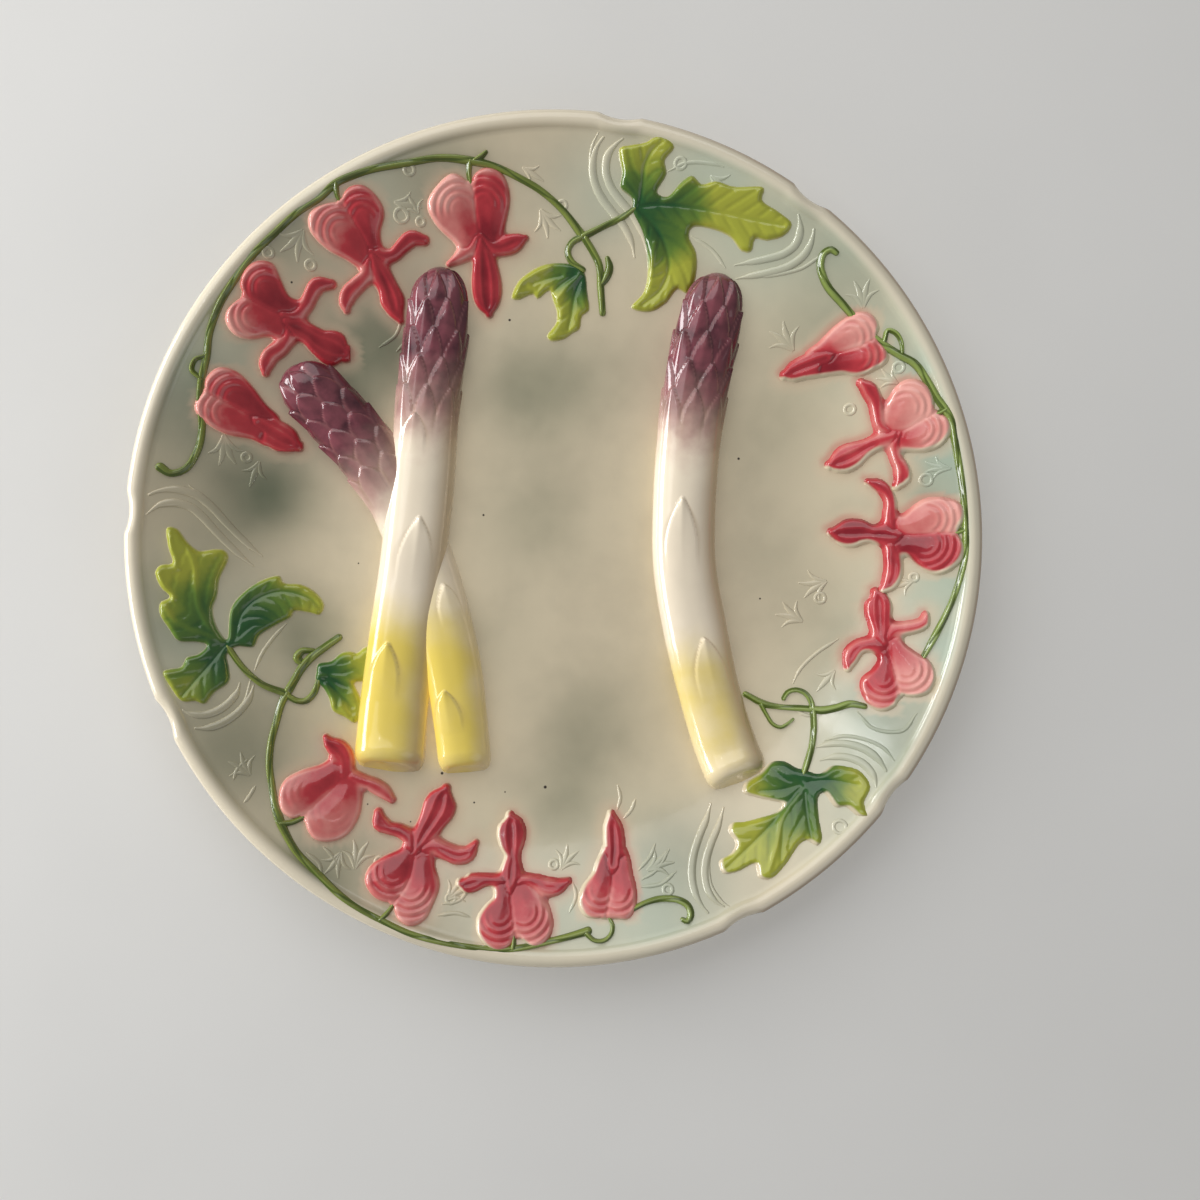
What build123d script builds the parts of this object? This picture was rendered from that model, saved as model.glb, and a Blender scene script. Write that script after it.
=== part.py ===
from build123d import *
import math
import os

# Asparagus plate: a round, dished earthenware plate with asparagus spears, garlands and leaves in relief.
# Millimetres, +Z up. The origin is the middle of the plane that the foot ring rests on.
# +X points to the right and +Y to the top of the plate, as it is seen from above.

# Plate body
PLATE_RADIUS = 122.5
BODY_THICKNESS = 5.0
WELL_RADIUS = 62.0
BEND_RADIUS = 100.0
RIM_SLOPE_DEG = 20.0
LIP_WIDTH = 2.8
LIP_RISE = 1.0
FOOT_RADIUS = 69.5
FOOT_WIDTH = 4.0
FOOT_HEIGHT = 4.0
FOOT_DRAFT = 1.5
NOTCH_RADIUS = 15.0
NOTCH_DEPTH = 1.3
NOTCH_ANGLES_DEG = (53.0, 81.0, 176.5, 205.0, 296.5, 323.0)

# Heights of the relief above the plate's face
FLOWER_HEIGHT = 2.6
LEAF_HEIGHT = 2.0
STEM_HEIGHT = 1.6
SCROLL_HEIGHT = 0.7

# Asparagus spears: how far the centre line stands above the face, as a share of the radius there,
# and how far the cut end leans back
SPEAR_LIFT_SHARE = 0.2
SPEAR_CUT_TILT_DEG = 22.0

# The relief is set out on a squared drawing, with this many squares from the plate's centre to its edge.
# Outlines are lists of (x, y) and strips are lists of (x, y, width), all counted in squares.
LAYOUT_SQUARES = 122.5
SQUARE = PLATE_RADIUS / LAYOUT_SQUARES

# Values that follow from the sizes above
WELL_Z = FOOT_HEIGHT + BODY_THICKNESS
RIM_SLOPE = math.radians(RIM_SLOPE_DEG)
LIP_START = PLATE_RADIUS - LIP_WIDTH
BEND_END = WELL_RADIUS + BEND_RADIUS * math.sin(RIM_SLOPE)
BEND_END_Z = WELL_Z + BEND_RADIUS * (1 - math.cos(RIM_SLOPE))
FULL_TURN = 360.0

# Spears, from the tip to the cut end
SPEARS = {
    "spear_left_front": [
        (-33.9, 78.2, 3.0), (-33.7, 76.6, 9.0), (-33.5, 73.5, 13.0), (-33.6, 68.0, 16.0),
        (-34.4, 60.0, 17.8), (-36.9, 40.0, 18.3), (-39.0, 15.0, 19.0), (-41.9, -10.0, 19.0),
        (-44.8, -30.0, 19.2), (-47.0, -50.0, 20.0), (-48.2, -66.5, 20.4),
    ],
    "spear_right": [
        (47.9, 76.2, 3.0), (47.7, 74.8, 8.0), (47.2, 72.0, 12.4), (46.2, 67.5, 15.6), (44.6, 60.0, 18.0),
        (42.4, 50.0, 18.4), (39.6, 31.0, 18.6), (38.0, 8.0, 18.4), (38.2, -8.0, 18.4),
        (41.2, -26.0, 18.6), (45.5, -45.0, 18.0), (50.0, -60.0, 18.2), (53.9, -69.8, 18.2),
    ],
    "spear_left_back_head": [
        (-76.6, 48.4, 3.0), (-75.6, 47.4, 9.0), (-73.4, 45.6, 13.4), (-69.6, 42.4, 16.6),
        (-63.5, 36.0, 17.8), (-54.0, 24.8, 18.0), (-46.4, 13.0, 18.0), (-40.7, 0.0, 18.0),
    ],
    "spear_left_back_shaft": [
        (-40.7, 0.0, 18.0), (-37.2, -10.0, 17.8), (-34.0, -20.0, 17.4), (-29.6, -38.0, 16.6),
        (-27.4, -54.0, 15.8), (-26.0, -67.5, 15.4),
    ],
}

# Low scrolls that frame the three leaf fields on the rim
SCROLLS = {
    "top_scroll_left": [
        (21.0, 117.0, 1.6), (17.2, 114.7, 2.2), (14.0, 111.0, 2.4), (13.2, 106.0, 2.4),
        (14.8, 101.0, 2.4), (18.3, 96.4, 2.4), (21.6, 92.8, 2.2), (24.4, 87.5, 2.0), (25.4, 83.0, 1.4),
    ],
    "top_scroll_right": [
        (70.4, 96.6, 1.6), (72.2, 92.2, 2.2), (72.6, 87.5, 2.4), (71.0, 83.3, 2.4), (67.4, 80.6, 2.4),
        (62.0, 79.2, 2.2), (56.5, 78.4, 1.8), (52.8, 77.8, 1.2),
    ],
    "left_scroll_upper": [
        (-117.4, 8.4, 1.6), (-113.6, 11.4, 2.2), (-108.6, 12.3, 2.4), (-104.0, 11.0, 2.4),
        (-100.4, 8.0, 2.4), (-97.0, 4.0, 2.2), (-93.4, 0.0, 2.0), (-89.4, -3.9, 1.8), (-86.6, -6.2, 1.2),
    ],
    "left_scroll_lower": [
        (-89.0, -42.0, 1.4), (-89.8, -45.0, 2.0), (-91.8, -48.0, 2.2), (-95.5, -51.0, 2.4),
        (-100.0, -52.4, 2.2), (-105.0, -51.6, 2.0), (-108.6, -49.2, 1.4),
    ],
    "bottom_scroll_left": [
        (47.6, -77.5, 1.4), (46.2, -82.0, 2.0), (44.0, -87.0, 2.2), (42.3, -92.0, 2.4),
        (41.8, -97.0, 2.4), (42.8, -101.8, 2.2), (45.5, -105.5, 2.0), (50.0, -107.8, 1.4),
    ],
    "bottom_scroll_right": [
        (76.6, -62.2, 1.4), (81.0, -61.0, 2.0), (85.6, -61.2, 2.2), (90.0, -63.0, 2.4),
        (93.0, -66.3, 2.2), (94.2, -70.0, 2.0), (93.8, -74.0, 1.4),
    ],
}

# Stems and twigs: each node is a main strip followed by the stalks and bracts that grow from it
STEMS = {
    "left_garland_stem": [
        [
            (-112.4, 20.4, 3.0), (-109.8, 18.8, 2.4), (-105.8, 20.2, 2.2), (-102.4, 26.0, 2.2),
            (-101.2, 32.6, 2.2), (-101.6, 39.0, 2.2), (-101.0, 45.5, 2.2), (-99.3, 52.5, 2.2),
            (-98.4, 58.6, 2.2), (-95.3, 66.8, 2.2), (-92.2, 72.0, 2.2), (-86.0, 80.5, 2.2),
            (-79.8, 86.8, 2.2), (-72.8, 93.1, 2.2), (-66.6, 97.2, 2.2), (-62.0, 101.2, 2.4),
            (-53.3, 104.9, 2.2), (-42.6, 107.2, 2.2), (-32.5, 109.0, 2.2), (-24.2, 108.5, 2.6),
            (-17.0, 107.1, 2.2), (-10.0, 104.2, 2.2), (-4.0, 101.0, 2.2), (2.4, 95.8, 2.2),
            (8.4, 88.6, 2.8),
        ],
        [(-24.0, 108.2, 2.0), (-24.3, 105.0, 1.8), (-23.9, 102.4, 1.6)],
        [(-62.0, 101.0, 2.0), (-61.7, 98.0, 1.6), (-61.0, 96.2, 1.4)],
        [(-101.0, 46.0, 1.6), (-103.4, 48.2, 1.6), (-102.4, 51.2, 1.4), (-99.6, 52.4, 1.2)],
        [(-22.6, 108.4, 1.6), (-20.6, 109.6, 1.8), (-19.2, 110.8, 1.2)],
    ],
    "right_garland_stem": [
        [
            (81.0, 81.7, 1.8), (79.6, 82.6, 2.2), (77.6, 81.8, 2.4), (76.7, 78.6, 2.5),
            (77.6, 75.2, 2.5), (79.2, 72.2, 2.5), (83.2, 67.6, 2.4), (87.0, 63.2, 2.2),
            (90.6, 59.4, 2.2), (94.4, 56.0, 2.4), (99.6, 52.4, 2.4), (103.4, 50.0, 2.5),
            (106.8, 45.2, 2.4), (109.8, 40.0, 2.4), (112.0, 36.6, 2.6), (113.6, 33.4, 2.4),
            (115.1, 25.0, 2.4), (116.6, 16.4, 2.2), (117.4, 9.0, 2.0), (117.7, 3.0, 2.2),
            (117.7, -4.0, 2.0), (116.6, -10.0, 2.0), (113.6, -19.0, 2.0), (109.0, -28.6, 2.2),
            (106.2, -33.8, 1.8),
        ],
        [(112.0, 37.0, 2.0), (110.4, 36.0, 1.8), (108.8, 35.5, 1.4)],
        [(117.0, 2.4, 2.0), (115.4, 1.8, 1.6), (114.0, 1.6, 1.4)],
        [(95.0, 56.6, 1.6), (95.8, 59.6, 1.6), (98.0, 58.8, 1.6), (99.6, 56.2, 1.4), (100.0, 53.2, 1.2)],
    ],
    "bottom_garland_stem": [
        [
            (-78.0, -44.8, 2.8), (-79.3, -47.6, 2.4), (-80.8, -54.0, 2.2), (-81.8, -59.0, 2.2),
            (-82.0, -65.0, 2.2), (-81.0, -71.0, 2.2), (-80.0, -76.0, 2.4), (-78.6, -80.2, 2.8),
            (-76.4, -84.8, 2.4), (-73.2, -89.8, 2.2), (-67.3, -95.6, 2.2), (-61.0, -101.6, 2.2),
            (-54.6, -105.8, 2.2), (-48.0, -109.2, 2.2), (-40.4, -112.6, 2.2), (-32.6, -114.8, 2.2),
            (-24.0, -116.4, 2.0), (-15.0, -117.3, 2.0), (-8.0, -116.7, 2.0), (-1.0, -115.2, 2.0),
            (5.0, -113.8, 2.2), (10.0, -112.4, 2.6),
        ],
        [(-78.0, -81.6, 2.0), (-75.0, -81.4, 1.8), (-71.6, -80.0, 1.6)],
        [(-49.0, -108.6, 1.8), (-47.0, -106.6, 1.6), (-45.6, -104.6, 1.4)],
        [(-11.3, -116.8, 2.0), (-11.2, -115.0, 1.6), (-11.1, -112.8, 1.4)],
    ],
}
TWIGS = {
    "top_leaf_twig": [[(8.6, 88.5, 2.4), (14.4, 91.2, 2.0), (20.0, 93.6, 2.0), (23.4, 95.8, 1.6)]],
    "top_stub_twig": [
        [(9.0, 87.9, 2.4), (11.4, 84.2, 2.4), (13.2, 80.4, 2.4), (13.6, 74.0, 2.4), (14.2, 66.8, 2.2)],
        [(13.7, 74.6, 1.6), (15.4, 77.2, 2.6), (16.2, 80.0, 2.6), (15.6, 82.4, 1.6)],
    ],
    "top_leaf_petiole": [
        [(8.0, 88.4, 2.2), (5.2, 86.8, 2.2), (4.0, 84.2, 2.2), (5.2, 81.4, 2.2), (8.4, 79.2, 2.0)],
    ],
    "left_stub_twig": [
        [
            (-77.4, -43.8, 2.8), (-75.6, -40.4, 2.6), (-73.6, -37.0, 2.8), (-71.0, -34.2, 2.8),
            (-67.6, -31.6, 2.6), (-63.4, -28.6, 2.4),
        ],
        [(-73.4, -36.4, 2.0), (-75.3, -34.6, 2.8), (-74.0, -32.6, 2.4), (-70.8, -32.4, 1.6)],
    ],
    "left_leaf_petiole": [
        [(-94.4, -31.2, 2.0), (-90.0, -37.4, 1.9), (-84.8, -42.1, 2.0), (-78.6, -44.7, 2.4)],
    ],
    "small_leaf_petiole": [
        [
            (-77.6, -45.6, 2.0), (-75.0, -47.0, 2.0), (-72.6, -47.0, 2.2), (-70.4, -44.9, 2.2),
            (-69.0, -41.0, 1.8),
        ],
    ],
    "bottom_leaf_crook": [
        [
            (72.0, -69.0, 1.8), (73.4, -65.0, 2.2), (74.9, -60.0, 2.1), (75.6, -55.0, 2.1),
            (75.5, -50.5, 2.1), (74.9, -47.0, 1.9), (73.2, -44.7, 1.8), (70.6, -43.9, 1.7),
            (68.3, -44.7, 1.7), (67.2, -46.4, 1.6),
        ],
    ],
    "cross_twig_inner": [
        [(56.2, -45.3, 2.0), (61.5, -48.0, 2.3), (66.0, -48.9, 1.9), (72.0, -49.2, 2.1), (75.0, -49.4, 2.2)],
    ],
    "cross_twig_outer": [
        [(75.0, -49.4, 2.4), (78.0, -49.7, 2.7), (82.0, -48.9, 2.4), (86.0, -47.7, 2.4), (89.8, -48.3, 2.0)],
    ],
    "cross_twig_curl": [
        [
            (60.6, -48.2, 1.6), (62.2, -51.2, 1.4), (64.0, -53.9, 1.4), (66.2, -54.8, 1.3),
            (68.3, -53.7, 1.1), (69.8, -52.4, 0.9),
        ],
    ],
    "bottom_bud_tendril": [
        [
            (23.0, -106.4, 1.6), (26.4, -104.7, 1.7), (31.0, -103.5, 2.0), (35.8, -103.7, 2.1),
            (38.6, -105.2, 2.3), (39.4, -107.6, 2.3), (38.4, -109.4, 1.9), (37.0, -109.0, 1.5),
        ],
    ],
    "bottom_bud_calyx": [
        [
            (9.4, -113.0, 1.8), (11.8, -114.9, 1.4), (14.6, -114.9, 1.4), (16.6, -113.2, 1.5),
            (17.0, -110.8, 1.5), (15.8, -108.6, 1.2),
        ],
    ],
}

# Leaf outlines
LEAVES = {
    "top_leaf_large": [
        (22.7, 95.2), (22.6, 98.4), (19.2, 101.6), (19.7, 105.0), (19.0, 111.8), (22.4, 112.6),
        (26.5, 113.2), (29.8, 114.7), (33.6, 113.3), (34.6, 111.6), (32.0, 108.4), (32.5, 104.8),
        (29.9, 100.0), (32.6, 98.8), (37.0, 102.8), (39.8, 104.2), (42.6, 101.8), (46.5, 102.5),
        (51.4, 100.9), (60.3, 100.0), (59.8, 97.0), (64.5, 93.6), (68.4, 90.0), (66.5, 87.2),
        (61.5, 86.0), (58.2, 86.6), (57.2, 83.2), (54.6, 83.4), (51.2, 87.3), (46.0, 89.7), (40.2, 90.4),
        (39.2, 88.2), (41.4, 83.4), (41.5, 77.6), (40.4, 74.0), (38.6, 72.2), (36.3, 73.5), (32.6, 69.4),
        (28.0, 67.1), (22.6, 68.4), (26.0, 72.4), (27.2, 76.5), (27.1, 83.0), (25.6, 89.4),
    ],
    "top_leaf_small": [
        (8.9, 78.2), (7.0, 80.2), (3.0, 81.1), (-2.6, 80.8), (-7.0, 78.8), (-10.8, 75.6), (-12.5, 71.0),
        (-10.6, 70.6), (-8.0, 71.7), (-6.2, 72.2), (-5.0, 70.9), (-1.4, 73.3), (-0.5, 70.6), (0.7, 67.0),
        (0.5, 64.0), (-2.2, 60.0), (-1.2, 58.7), (3.0, 59.2), (5.3, 60.9), (7.3, 62.0), (8.2, 66.0),
        (10.1, 67.4), (9.7, 72.5),
    ],
    "left_leaf_large": [
        (-94.8, -29.0), (-97.4, -25.5), (-98.7, -20.0), (-97.6, -16.6), (-97.0, -11.5), (-94.6, -5.0),
        (-95.8, -3.1), (-98.6, -2.9), (-102.4, -3.4), (-105.4, -1.0), (-108.4, 3.0), (-110.8, 3.3),
        (-110.6, -2.2), (-109.5, -7.0), (-112.4, -7.5), (-113.9, -9.4), (-112.4, -14.0), (-110.0, -16.8),
        (-112.4, -18.2), (-112.6, -21.4), (-110.0, -26.0), (-107.6, -29.3), (-103.0, -29.7),
        (-100.0, -30.6), (-102.0, -33.0), (-105.4, -34.2), (-106.4, -36.6), (-111.3, -38.0),
        (-109.2, -42.6), (-106.0, -46.6), (-102.5, -46.6), (-100.2, -47.5), (-97.5, -44.2),
        (-93.8, -41.2), (-94.0, -37.0), (-94.6, -33.4), (-92.2, -31.2), (-87.4, -31.2), (-86.0, -28.2),
        (-81.0, -24.8), (-77.0, -22.4), (-76.4, -20.9), (-72.0, -21.3), (-69.0, -21.9), (-67.7, -19.0),
        (-70.4, -15.2), (-74.6, -13.0), (-79.4, -12.5), (-80.4, -10.6), (-85.0, -11.6), (-90.6, -15.5),
        (-93.8, -20.0),
    ],
    "left_leaf_small": [
        (-69.8, -38.6), (-69.4, -36.3), (-65.4, -35.4), (-62.8, -33.2), (-59.9, -32.7), (-58.2, -33.2),
        (-55.4, -31.3), (-52.0, -32.0), (-51.5, -38.0), (-55.6, -41.3), (-58.8, -42.0), (-57.2, -46.0),
        (-56.5, -50.0), (-58.4, -53.7), (-61.4, -52.0), (-64.9, -50.0), (-66.0, -46.6), (-67.8, -43.4),
        (-70.0, -41.0),
    ],
    "bottom_leaf": [
        (73.0, -67.0), (70.2, -66.3), (67.2, -64.7), (63.2, -65.0), (59.4, -68.6), (55.4, -71.4),
        (55.0, -73.6), (58.4, -74.8), (63.0, -75.7), (66.2, -76.5), (64.4, -79.0), (60.0, -80.6),
        (55.0, -82.0), (51.4, -82.5), (50.6, -84.4), (52.6, -88.0), (51.0, -91.0), (47.8, -93.0),
        (48.8, -96.2), (53.0, -95.6), (57.9, -93.4), (58.8, -97.0), (62.0, -97.4), (66.4, -93.4),
        (70.6, -87.6), (72.6, -86.4), (75.6, -87.8), (76.8, -86.2), (76.2, -80.0), (76.2, -74.6),
        (77.6, -73.0), (81.0, -77.0), (83.8, -76.8), (87.2, -79.4), (89.9, -79.2), (88.8, -75.6),
        (90.7, -71.0), (88.0, -66.8), (83.5, -65.5), (80.2, -65.6), (76.8, -67.9),
    ],
}

# Flowers and buds: lobes are outlines, and arms and the drop in the middle are strips
FLOWERS = {
    "left_garland_flower_1": {
        "lobes": [
            [
                (-23.3, 100.2), (-26.2, 103.8), (-29.0, 104.7), (-33.2, 101.6), (-36.2, 96.6),
                (-34.0, 91.5), (-29.3, 87.2), (-25.0, 84.2), (-22.3, 88.4), (-22.8, 94.5),
            ],
            [
                (-23.0, 100.3), (-22.4, 104.6), (-19.2, 106.5), (-15.0, 105.0), (-12.9, 99.5),
                (-14.0, 93.0), (-15.6, 88.7), (-17.6, 86.4), (-20.9, 88.8), (-22.4, 95.5),
            ],
        ],
        "strips": [
            [(-22.8, 87.5, 2.2), (-24.6, 84.6, 2.8), (-27.4, 82.5, 3.0), (-30.6, 80.6, 1.4)],
            [
                (-20.8, 88.4, 1.8), (-18.9, 86.0, 2.8), (-15.7, 85.2, 4.0), (-12.4, 86.2, 5.0),
                (-9.8, 87.4, 3.6), (-8.3, 88.0, 1.4),
            ],
            [
                (-21.0, 87.0, 2.2), (-20.5, 83.0, 4.8), (-20.1, 79.0, 7.2), (-19.8, 74.5, 8.3),
                (-19.6, 70.5, 7.4), (-19.3, 68.0, 5.0), (-19.1, 66.5, 2.0),
            ],
        ],
    },
    "left_garland_flower_2": {
        "lobes": [
            [
                (-60.3, 96.0), (-58.8, 99.6), (-55.0, 100.9), (-51.3, 98.6), (-49.0, 94.2),
                (-50.3, 89.0), (-50.7, 84.6), (-52.0, 82.8), (-55.0, 87.5), (-58.6, 93.4),
            ],
            [
                (-60.7, 95.7), (-65.5, 95.2), (-69.3, 92.8), (-69.6, 88.8), (-65.5, 84.0), (-60.5, 81.4),
                (-56.0, 79.5), (-53.6, 80.8), (-54.2, 85.3), (-57.8, 91.8),
            ],
        ],
        "strips": [
            [
                (-52.3, 83.4, 2.2), (-49.8, 82.2, 2.8), (-46.6, 82.6, 3.2), (-44.0, 85.0, 3.8),
                (-41.2, 87.2, 4.2), (-37.6, 86.9, 2.6),
            ],
            [
                (-53.6, 80.6, 2.4), (-54.3, 77.0, 3.4), (-57.2, 73.9, 4.2), (-59.6, 71.4, 4.4),
                (-60.6, 68.5, 3.4), (-60.4, 66.8, 1.6),
            ],
            [
                (-52.0, 81.5, 3.0), (-50.0, 77.0, 4.8), (-48.2, 73.0, 5.6), (-47.2, 69.8, 6.6),
                (-46.2, 66.6, 4.2), (-45.0, 64.2, 1.4),
            ],
        ],
    },
    "left_garland_flower_3": {
        "lobes": [
            [
                (-87.4, 69.0), (-89.2, 72.0), (-88.0, 76.2), (-84.6, 79.0), (-80.6, 78.6), (-78.6, 74.4),
                (-76.5, 69.9), (-73.4, 67.6), (-76.0, 65.0), (-80.5, 65.7), (-84.5, 67.5),
            ],
            [
                (-87.8, 68.6), (-92.0, 66.6), (-93.7, 63.0), (-91.6, 59.0), (-87.5, 57.9), (-82.5, 59.0),
                (-78.5, 58.6), (-76.7, 60.6), (-79.0, 64.0), (-83.0, 66.4),
            ],
        ],
        "strips": [
            [
                (-78.0, 65.2, 1.8), (-74.4, 65.0, 2.6), (-71.6, 67.6, 3.2), (-70.0, 71.0, 3.8),
                (-68.2, 73.4, 4.2), (-64.4, 73.9, 2.4),
            ],
            [
                (-77.4, 62.0, 1.8), (-76.8, 58.6, 2.8), (-79.0, 55.5, 3.8), (-82.0, 53.3, 4.3),
                (-83.4, 50.4, 3.6), (-83.6, 48.3, 1.8),
            ],
            [
                (-77.6, 62.4, 2.2), (-74.4, 61.2, 4.8), (-71.0, 59.5, 5.6), (-68.2, 57.5, 7.6),
                (-65.4, 56.2, 9.8), (-62.9, 55.2, 9.0), (-61.3, 54.6, 5.0),
            ],
        ],
    },
    "left_garland_bud": {
        "lobes": [
            [
                (-99.2, 41.9), (-99.7, 45.4), (-96.5, 48.9), (-92.0, 48.3), (-87.8, 44.4), (-84.0, 39.0),
                (-81.5, 35.8), (-84.5, 34.2), (-89.5, 37.0), (-94.8, 39.8),
            ],
            [
                (-99.4, 41.6), (-102.4, 39.4), (-102.6, 36.8), (-99.6, 33.4), (-94.5, 30.6),
                (-88.0, 29.7), (-83.6, 29.0), (-82.0, 31.6), (-84.8, 33.8), (-89.5, 36.6), (-95.0, 39.4),
            ],
        ],
        "strips": [
            [(-85.5, 33.6, 6.0), (-82.2, 31.4, 7.6), (-79.2, 29.6, 7.8), (-76.9, 28.3, 6.4), (-75.1, 27.4, 3.0)],
        ],
    },
    "right_garland_bud": {
        "lobes": [
            [
                (91.4, 57.2), (93.2, 60.2), (91.6, 63.6), (88.0, 64.9), (83.8, 63.0), (80.2, 60.2),
                (77.0, 56.6), (75.0, 54.4), (79.0, 53.4), (84.5, 54.8), (88.6, 56.0),
            ],
            [
                (91.6, 57.0), (95.4, 54.0), (96.0, 51.2), (92.6, 48.8), (88.4, 47.4), (84.4, 48.2),
                (80.0, 48.2), (76.6, 48.8), (75.6, 51.6), (79.5, 52.9), (84.8, 54.2), (88.8, 55.4),
            ],
        ],
        "strips": [
            [(78.8, 52.2, 6.0), (75.4, 51.0, 6.6), (72.0, 49.8, 6.2), (69.4, 48.8, 5.0), (67.5, 48.2, 2.4)],
        ],
    },
    "right_garland_flower_1": {
        "lobes": [
            [
                (108.5, 35.7), (108.6, 39.2), (106.6, 43.6), (102.8, 45.5), (99.4, 44.2), (96.9, 39.8),
                (95.6, 34.8), (97.0, 31.4), (101.0, 31.9), (105.5, 34.0),
            ],
            [
                (108.8, 35.4), (112.2, 34.4), (113.5, 30.6), (111.4, 27.0), (107.6, 25.2), (103.2, 25.4),
                (99.8, 26.6), (99.4, 29.4), (102.6, 31.8), (106.0, 34.0),
            ],
        ],
        "strips": [
            [
                (96.4, 31.2, 1.8), (94.2, 33.0, 2.4), (93.4, 36.2, 2.8), (92.9, 39.6, 3.4),
                (91.3, 43.0, 4.2), (89.0, 45.2, 2.0),
            ],
            [
                (99.4, 29.8, 1.8), (98.3, 26.6, 2.4), (98.9, 23.4, 2.8), (100.4, 20.6, 3.8),
                (100.8, 17.6, 4.4), (99.4, 15.4, 2.2),
            ],
            [
                (98.0, 29.6, 2.8), (94.2, 28.2, 4.0), (90.6, 26.4, 5.0), (87.2, 24.5, 7.4),
                (84.3, 23.1, 7.4), (82.2, 22.3, 5.2), (80.7, 21.9, 2.4),
            ],
        ],
    },
    "right_garland_flower_2": {
        "lobes": [
            [
                (114.0, 1.9), (117.0, 5.0), (116.6, 9.4), (112.6, 11.3), (107.5, 11.4), (104.0, 9.4),
                (100.8, 6.4), (98.4, 5.4), (98.9, 2.6), (103.0, 1.3), (108.5, 1.7),
            ],
            [
                (114.2, 1.4), (117.0, -1.8), (116.6, -6.0), (113.5, -9.2), (109.8, -10.1), (106.0, -8.2),
                (103.0, -4.8), (99.6, -4.0), (98.6, -1.6), (100.4, 0.5), (107.0, 1.2),
            ],
        ],
        "strips": [
            [
                (97.8, 3.4, 2.6), (97.4, 7.0, 3.2), (97.6, 10.4, 3.0), (96.6, 13.3, 3.0),
                (94.4, 15.6, 3.2), (91.4, 16.8, 1.4),
            ],
            [
                (97.4, -2.0, 2.2), (97.7, -4.8, 3.4), (98.4, -7.8, 4.6), (98.2, -10.6, 4.8),
                (97.0, -13.2, 4.0), (95.4, -14.7, 2.0),
            ],
            [
                (98.8, 0.8, 4.0), (95.6, 1.4, 5.4), (92.4, 1.6, 4.8), (89.4, 2.0, 7.2), (86.4, 1.9, 8.0),
                (83.6, 2.0, 6.0), (81.3, 2.3, 2.0),
            ],
        ],
    },
    "right_garland_flower_3": {
        "lobes": [
            [
                (99.2, -43.9), (102.8, -45.2), (107.0, -44.2), (109.0, -40.6), (108.0, -35.8),
                (104.2, -33.0), (101.0, -30.6), (99.2, -28.6), (96.9, -29.2), (96.3, -31.6),
                (97.6, -35.6), (98.8, -40.0),
            ],
            [
                (98.8, -44.1), (98.4, -47.6), (95.0, -49.4), (91.6, -48.0), (89.4, -44.4), (89.4, -40.8),
                (92.2, -38.0), (94.4, -35.0), (95.3, -31.8), (96.4, -33.0), (97.8, -37.5), (98.6, -41.5),
            ],
        ],
        "strips": [
            [
                (95.2, -31.0, 2.4), (91.8, -30.5, 3.4), (88.8, -31.2, 4.0), (86.8, -33.2, 4.4),
                (86.0, -35.4, 3.8), (85.6, -37.4, 1.8),
            ],
            [
                (96.2, -28.6, 2.2), (98.0, -26.5, 3.0), (101.0, -25.8, 3.4), (104.0, -25.3, 3.4),
                (106.3, -24.2, 3.2), (107.0, -21.8, 1.6),
            ],
            [
                (95.2, -30.4, 3.0), (94.7, -27.4, 4.2), (94.4, -24.6, 5.4), (94.2, -21.4, 7.0),
                (94.2, -18.8, 7.0), (94.0, -16.8, 5.0), (93.4, -15.2, 2.0),
            ],
        ],
    },
    "bottom_garland_flower_1": {
        "lobes": [
            [
                (-71.0, -78.4), (-74.5, -80.1), (-77.6, -78.2), (-78.7, -74.0), (-77.4, -69.8),
                (-73.5, -67.4), (-68.0, -65.8), (-63.5, -64.5), (-60.5, -67.8), (-63.5, -71.4),
                (-67.8, -75.4),
            ],
            [
                (-70.8, -78.8), (-70.8, -82.4), (-68.4, -86.0), (-64.0, -86.8), (-59.6, -85.0),
                (-56.6, -80.0), (-56.2, -74.4), (-57.6, -70.4), (-60.6, -69.2), (-64.6, -72.8),
                (-68.6, -76.8),
            ],
        ],
        "strips": [
            [
                (-61.5, -68.0, 3.6), (-60.6, -65.4, 4.0), (-61.4, -62.8, 5.0), (-63.4, -60.8, 5.2),
                (-65.4, -59.2, 3.4), (-66.6, -57.6, 1.4),
            ],
            [
                (-58.6, -69.2, 2.8), (-55.4, -70.4, 3.2), (-52.4, -71.7, 3.8), (-49.6, -73.5, 3.6),
                (-47.2, -75.8, 1.8),
            ],
        ],
    },
    "bottom_garland_flower_2": {
        "lobes": [
            [
                (-45.4, -103.7), (-48.5, -103.6), (-51.6, -101.8), (-53.8, -97.8), (-52.4, -94.2),
                (-48.5, -91.6), (-44.5, -90.2), (-41.6, -89.8), (-40.6, -92.6), (-41.2, -96.6),
                (-43.2, -100.6),
            ],
            [
                (-45.2, -104.2), (-44.4, -108.0), (-41.0, -110.4), (-37.0, -109.0), (-34.6, -104.6),
                (-33.1, -99.8), (-34.6, -95.0), (-35.8, -91.4), (-38.4, -90.4), (-40.0, -92.8),
                (-40.8, -97.0), (-42.8, -101.0),
            ],
        ],
        "strips": [
            [
                (-41.0, -89.0, 2.6), (-42.2, -86.3, 3.2), (-44.8, -84.5, 3.4), (-47.8, -83.7, 3.2),
                (-50.2, -82.2, 4.2), (-51.0, -79.3, 2.2),
            ],
            [
                (-37.6, -89.4, 2.4), (-34.6, -88.9, 3.6), (-31.0, -90.5, 4.4), (-27.8, -91.7, 4.8),
                (-25.0, -91.2, 4.4), (-22.7, -88.3, 1.4),
            ],
            [
                (-39.4, -89.0, 3.6), (-37.6, -85.4, 5.6), (-35.4, -81.8, 7.6), (-33.6, -78.4, 9.2),
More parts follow.
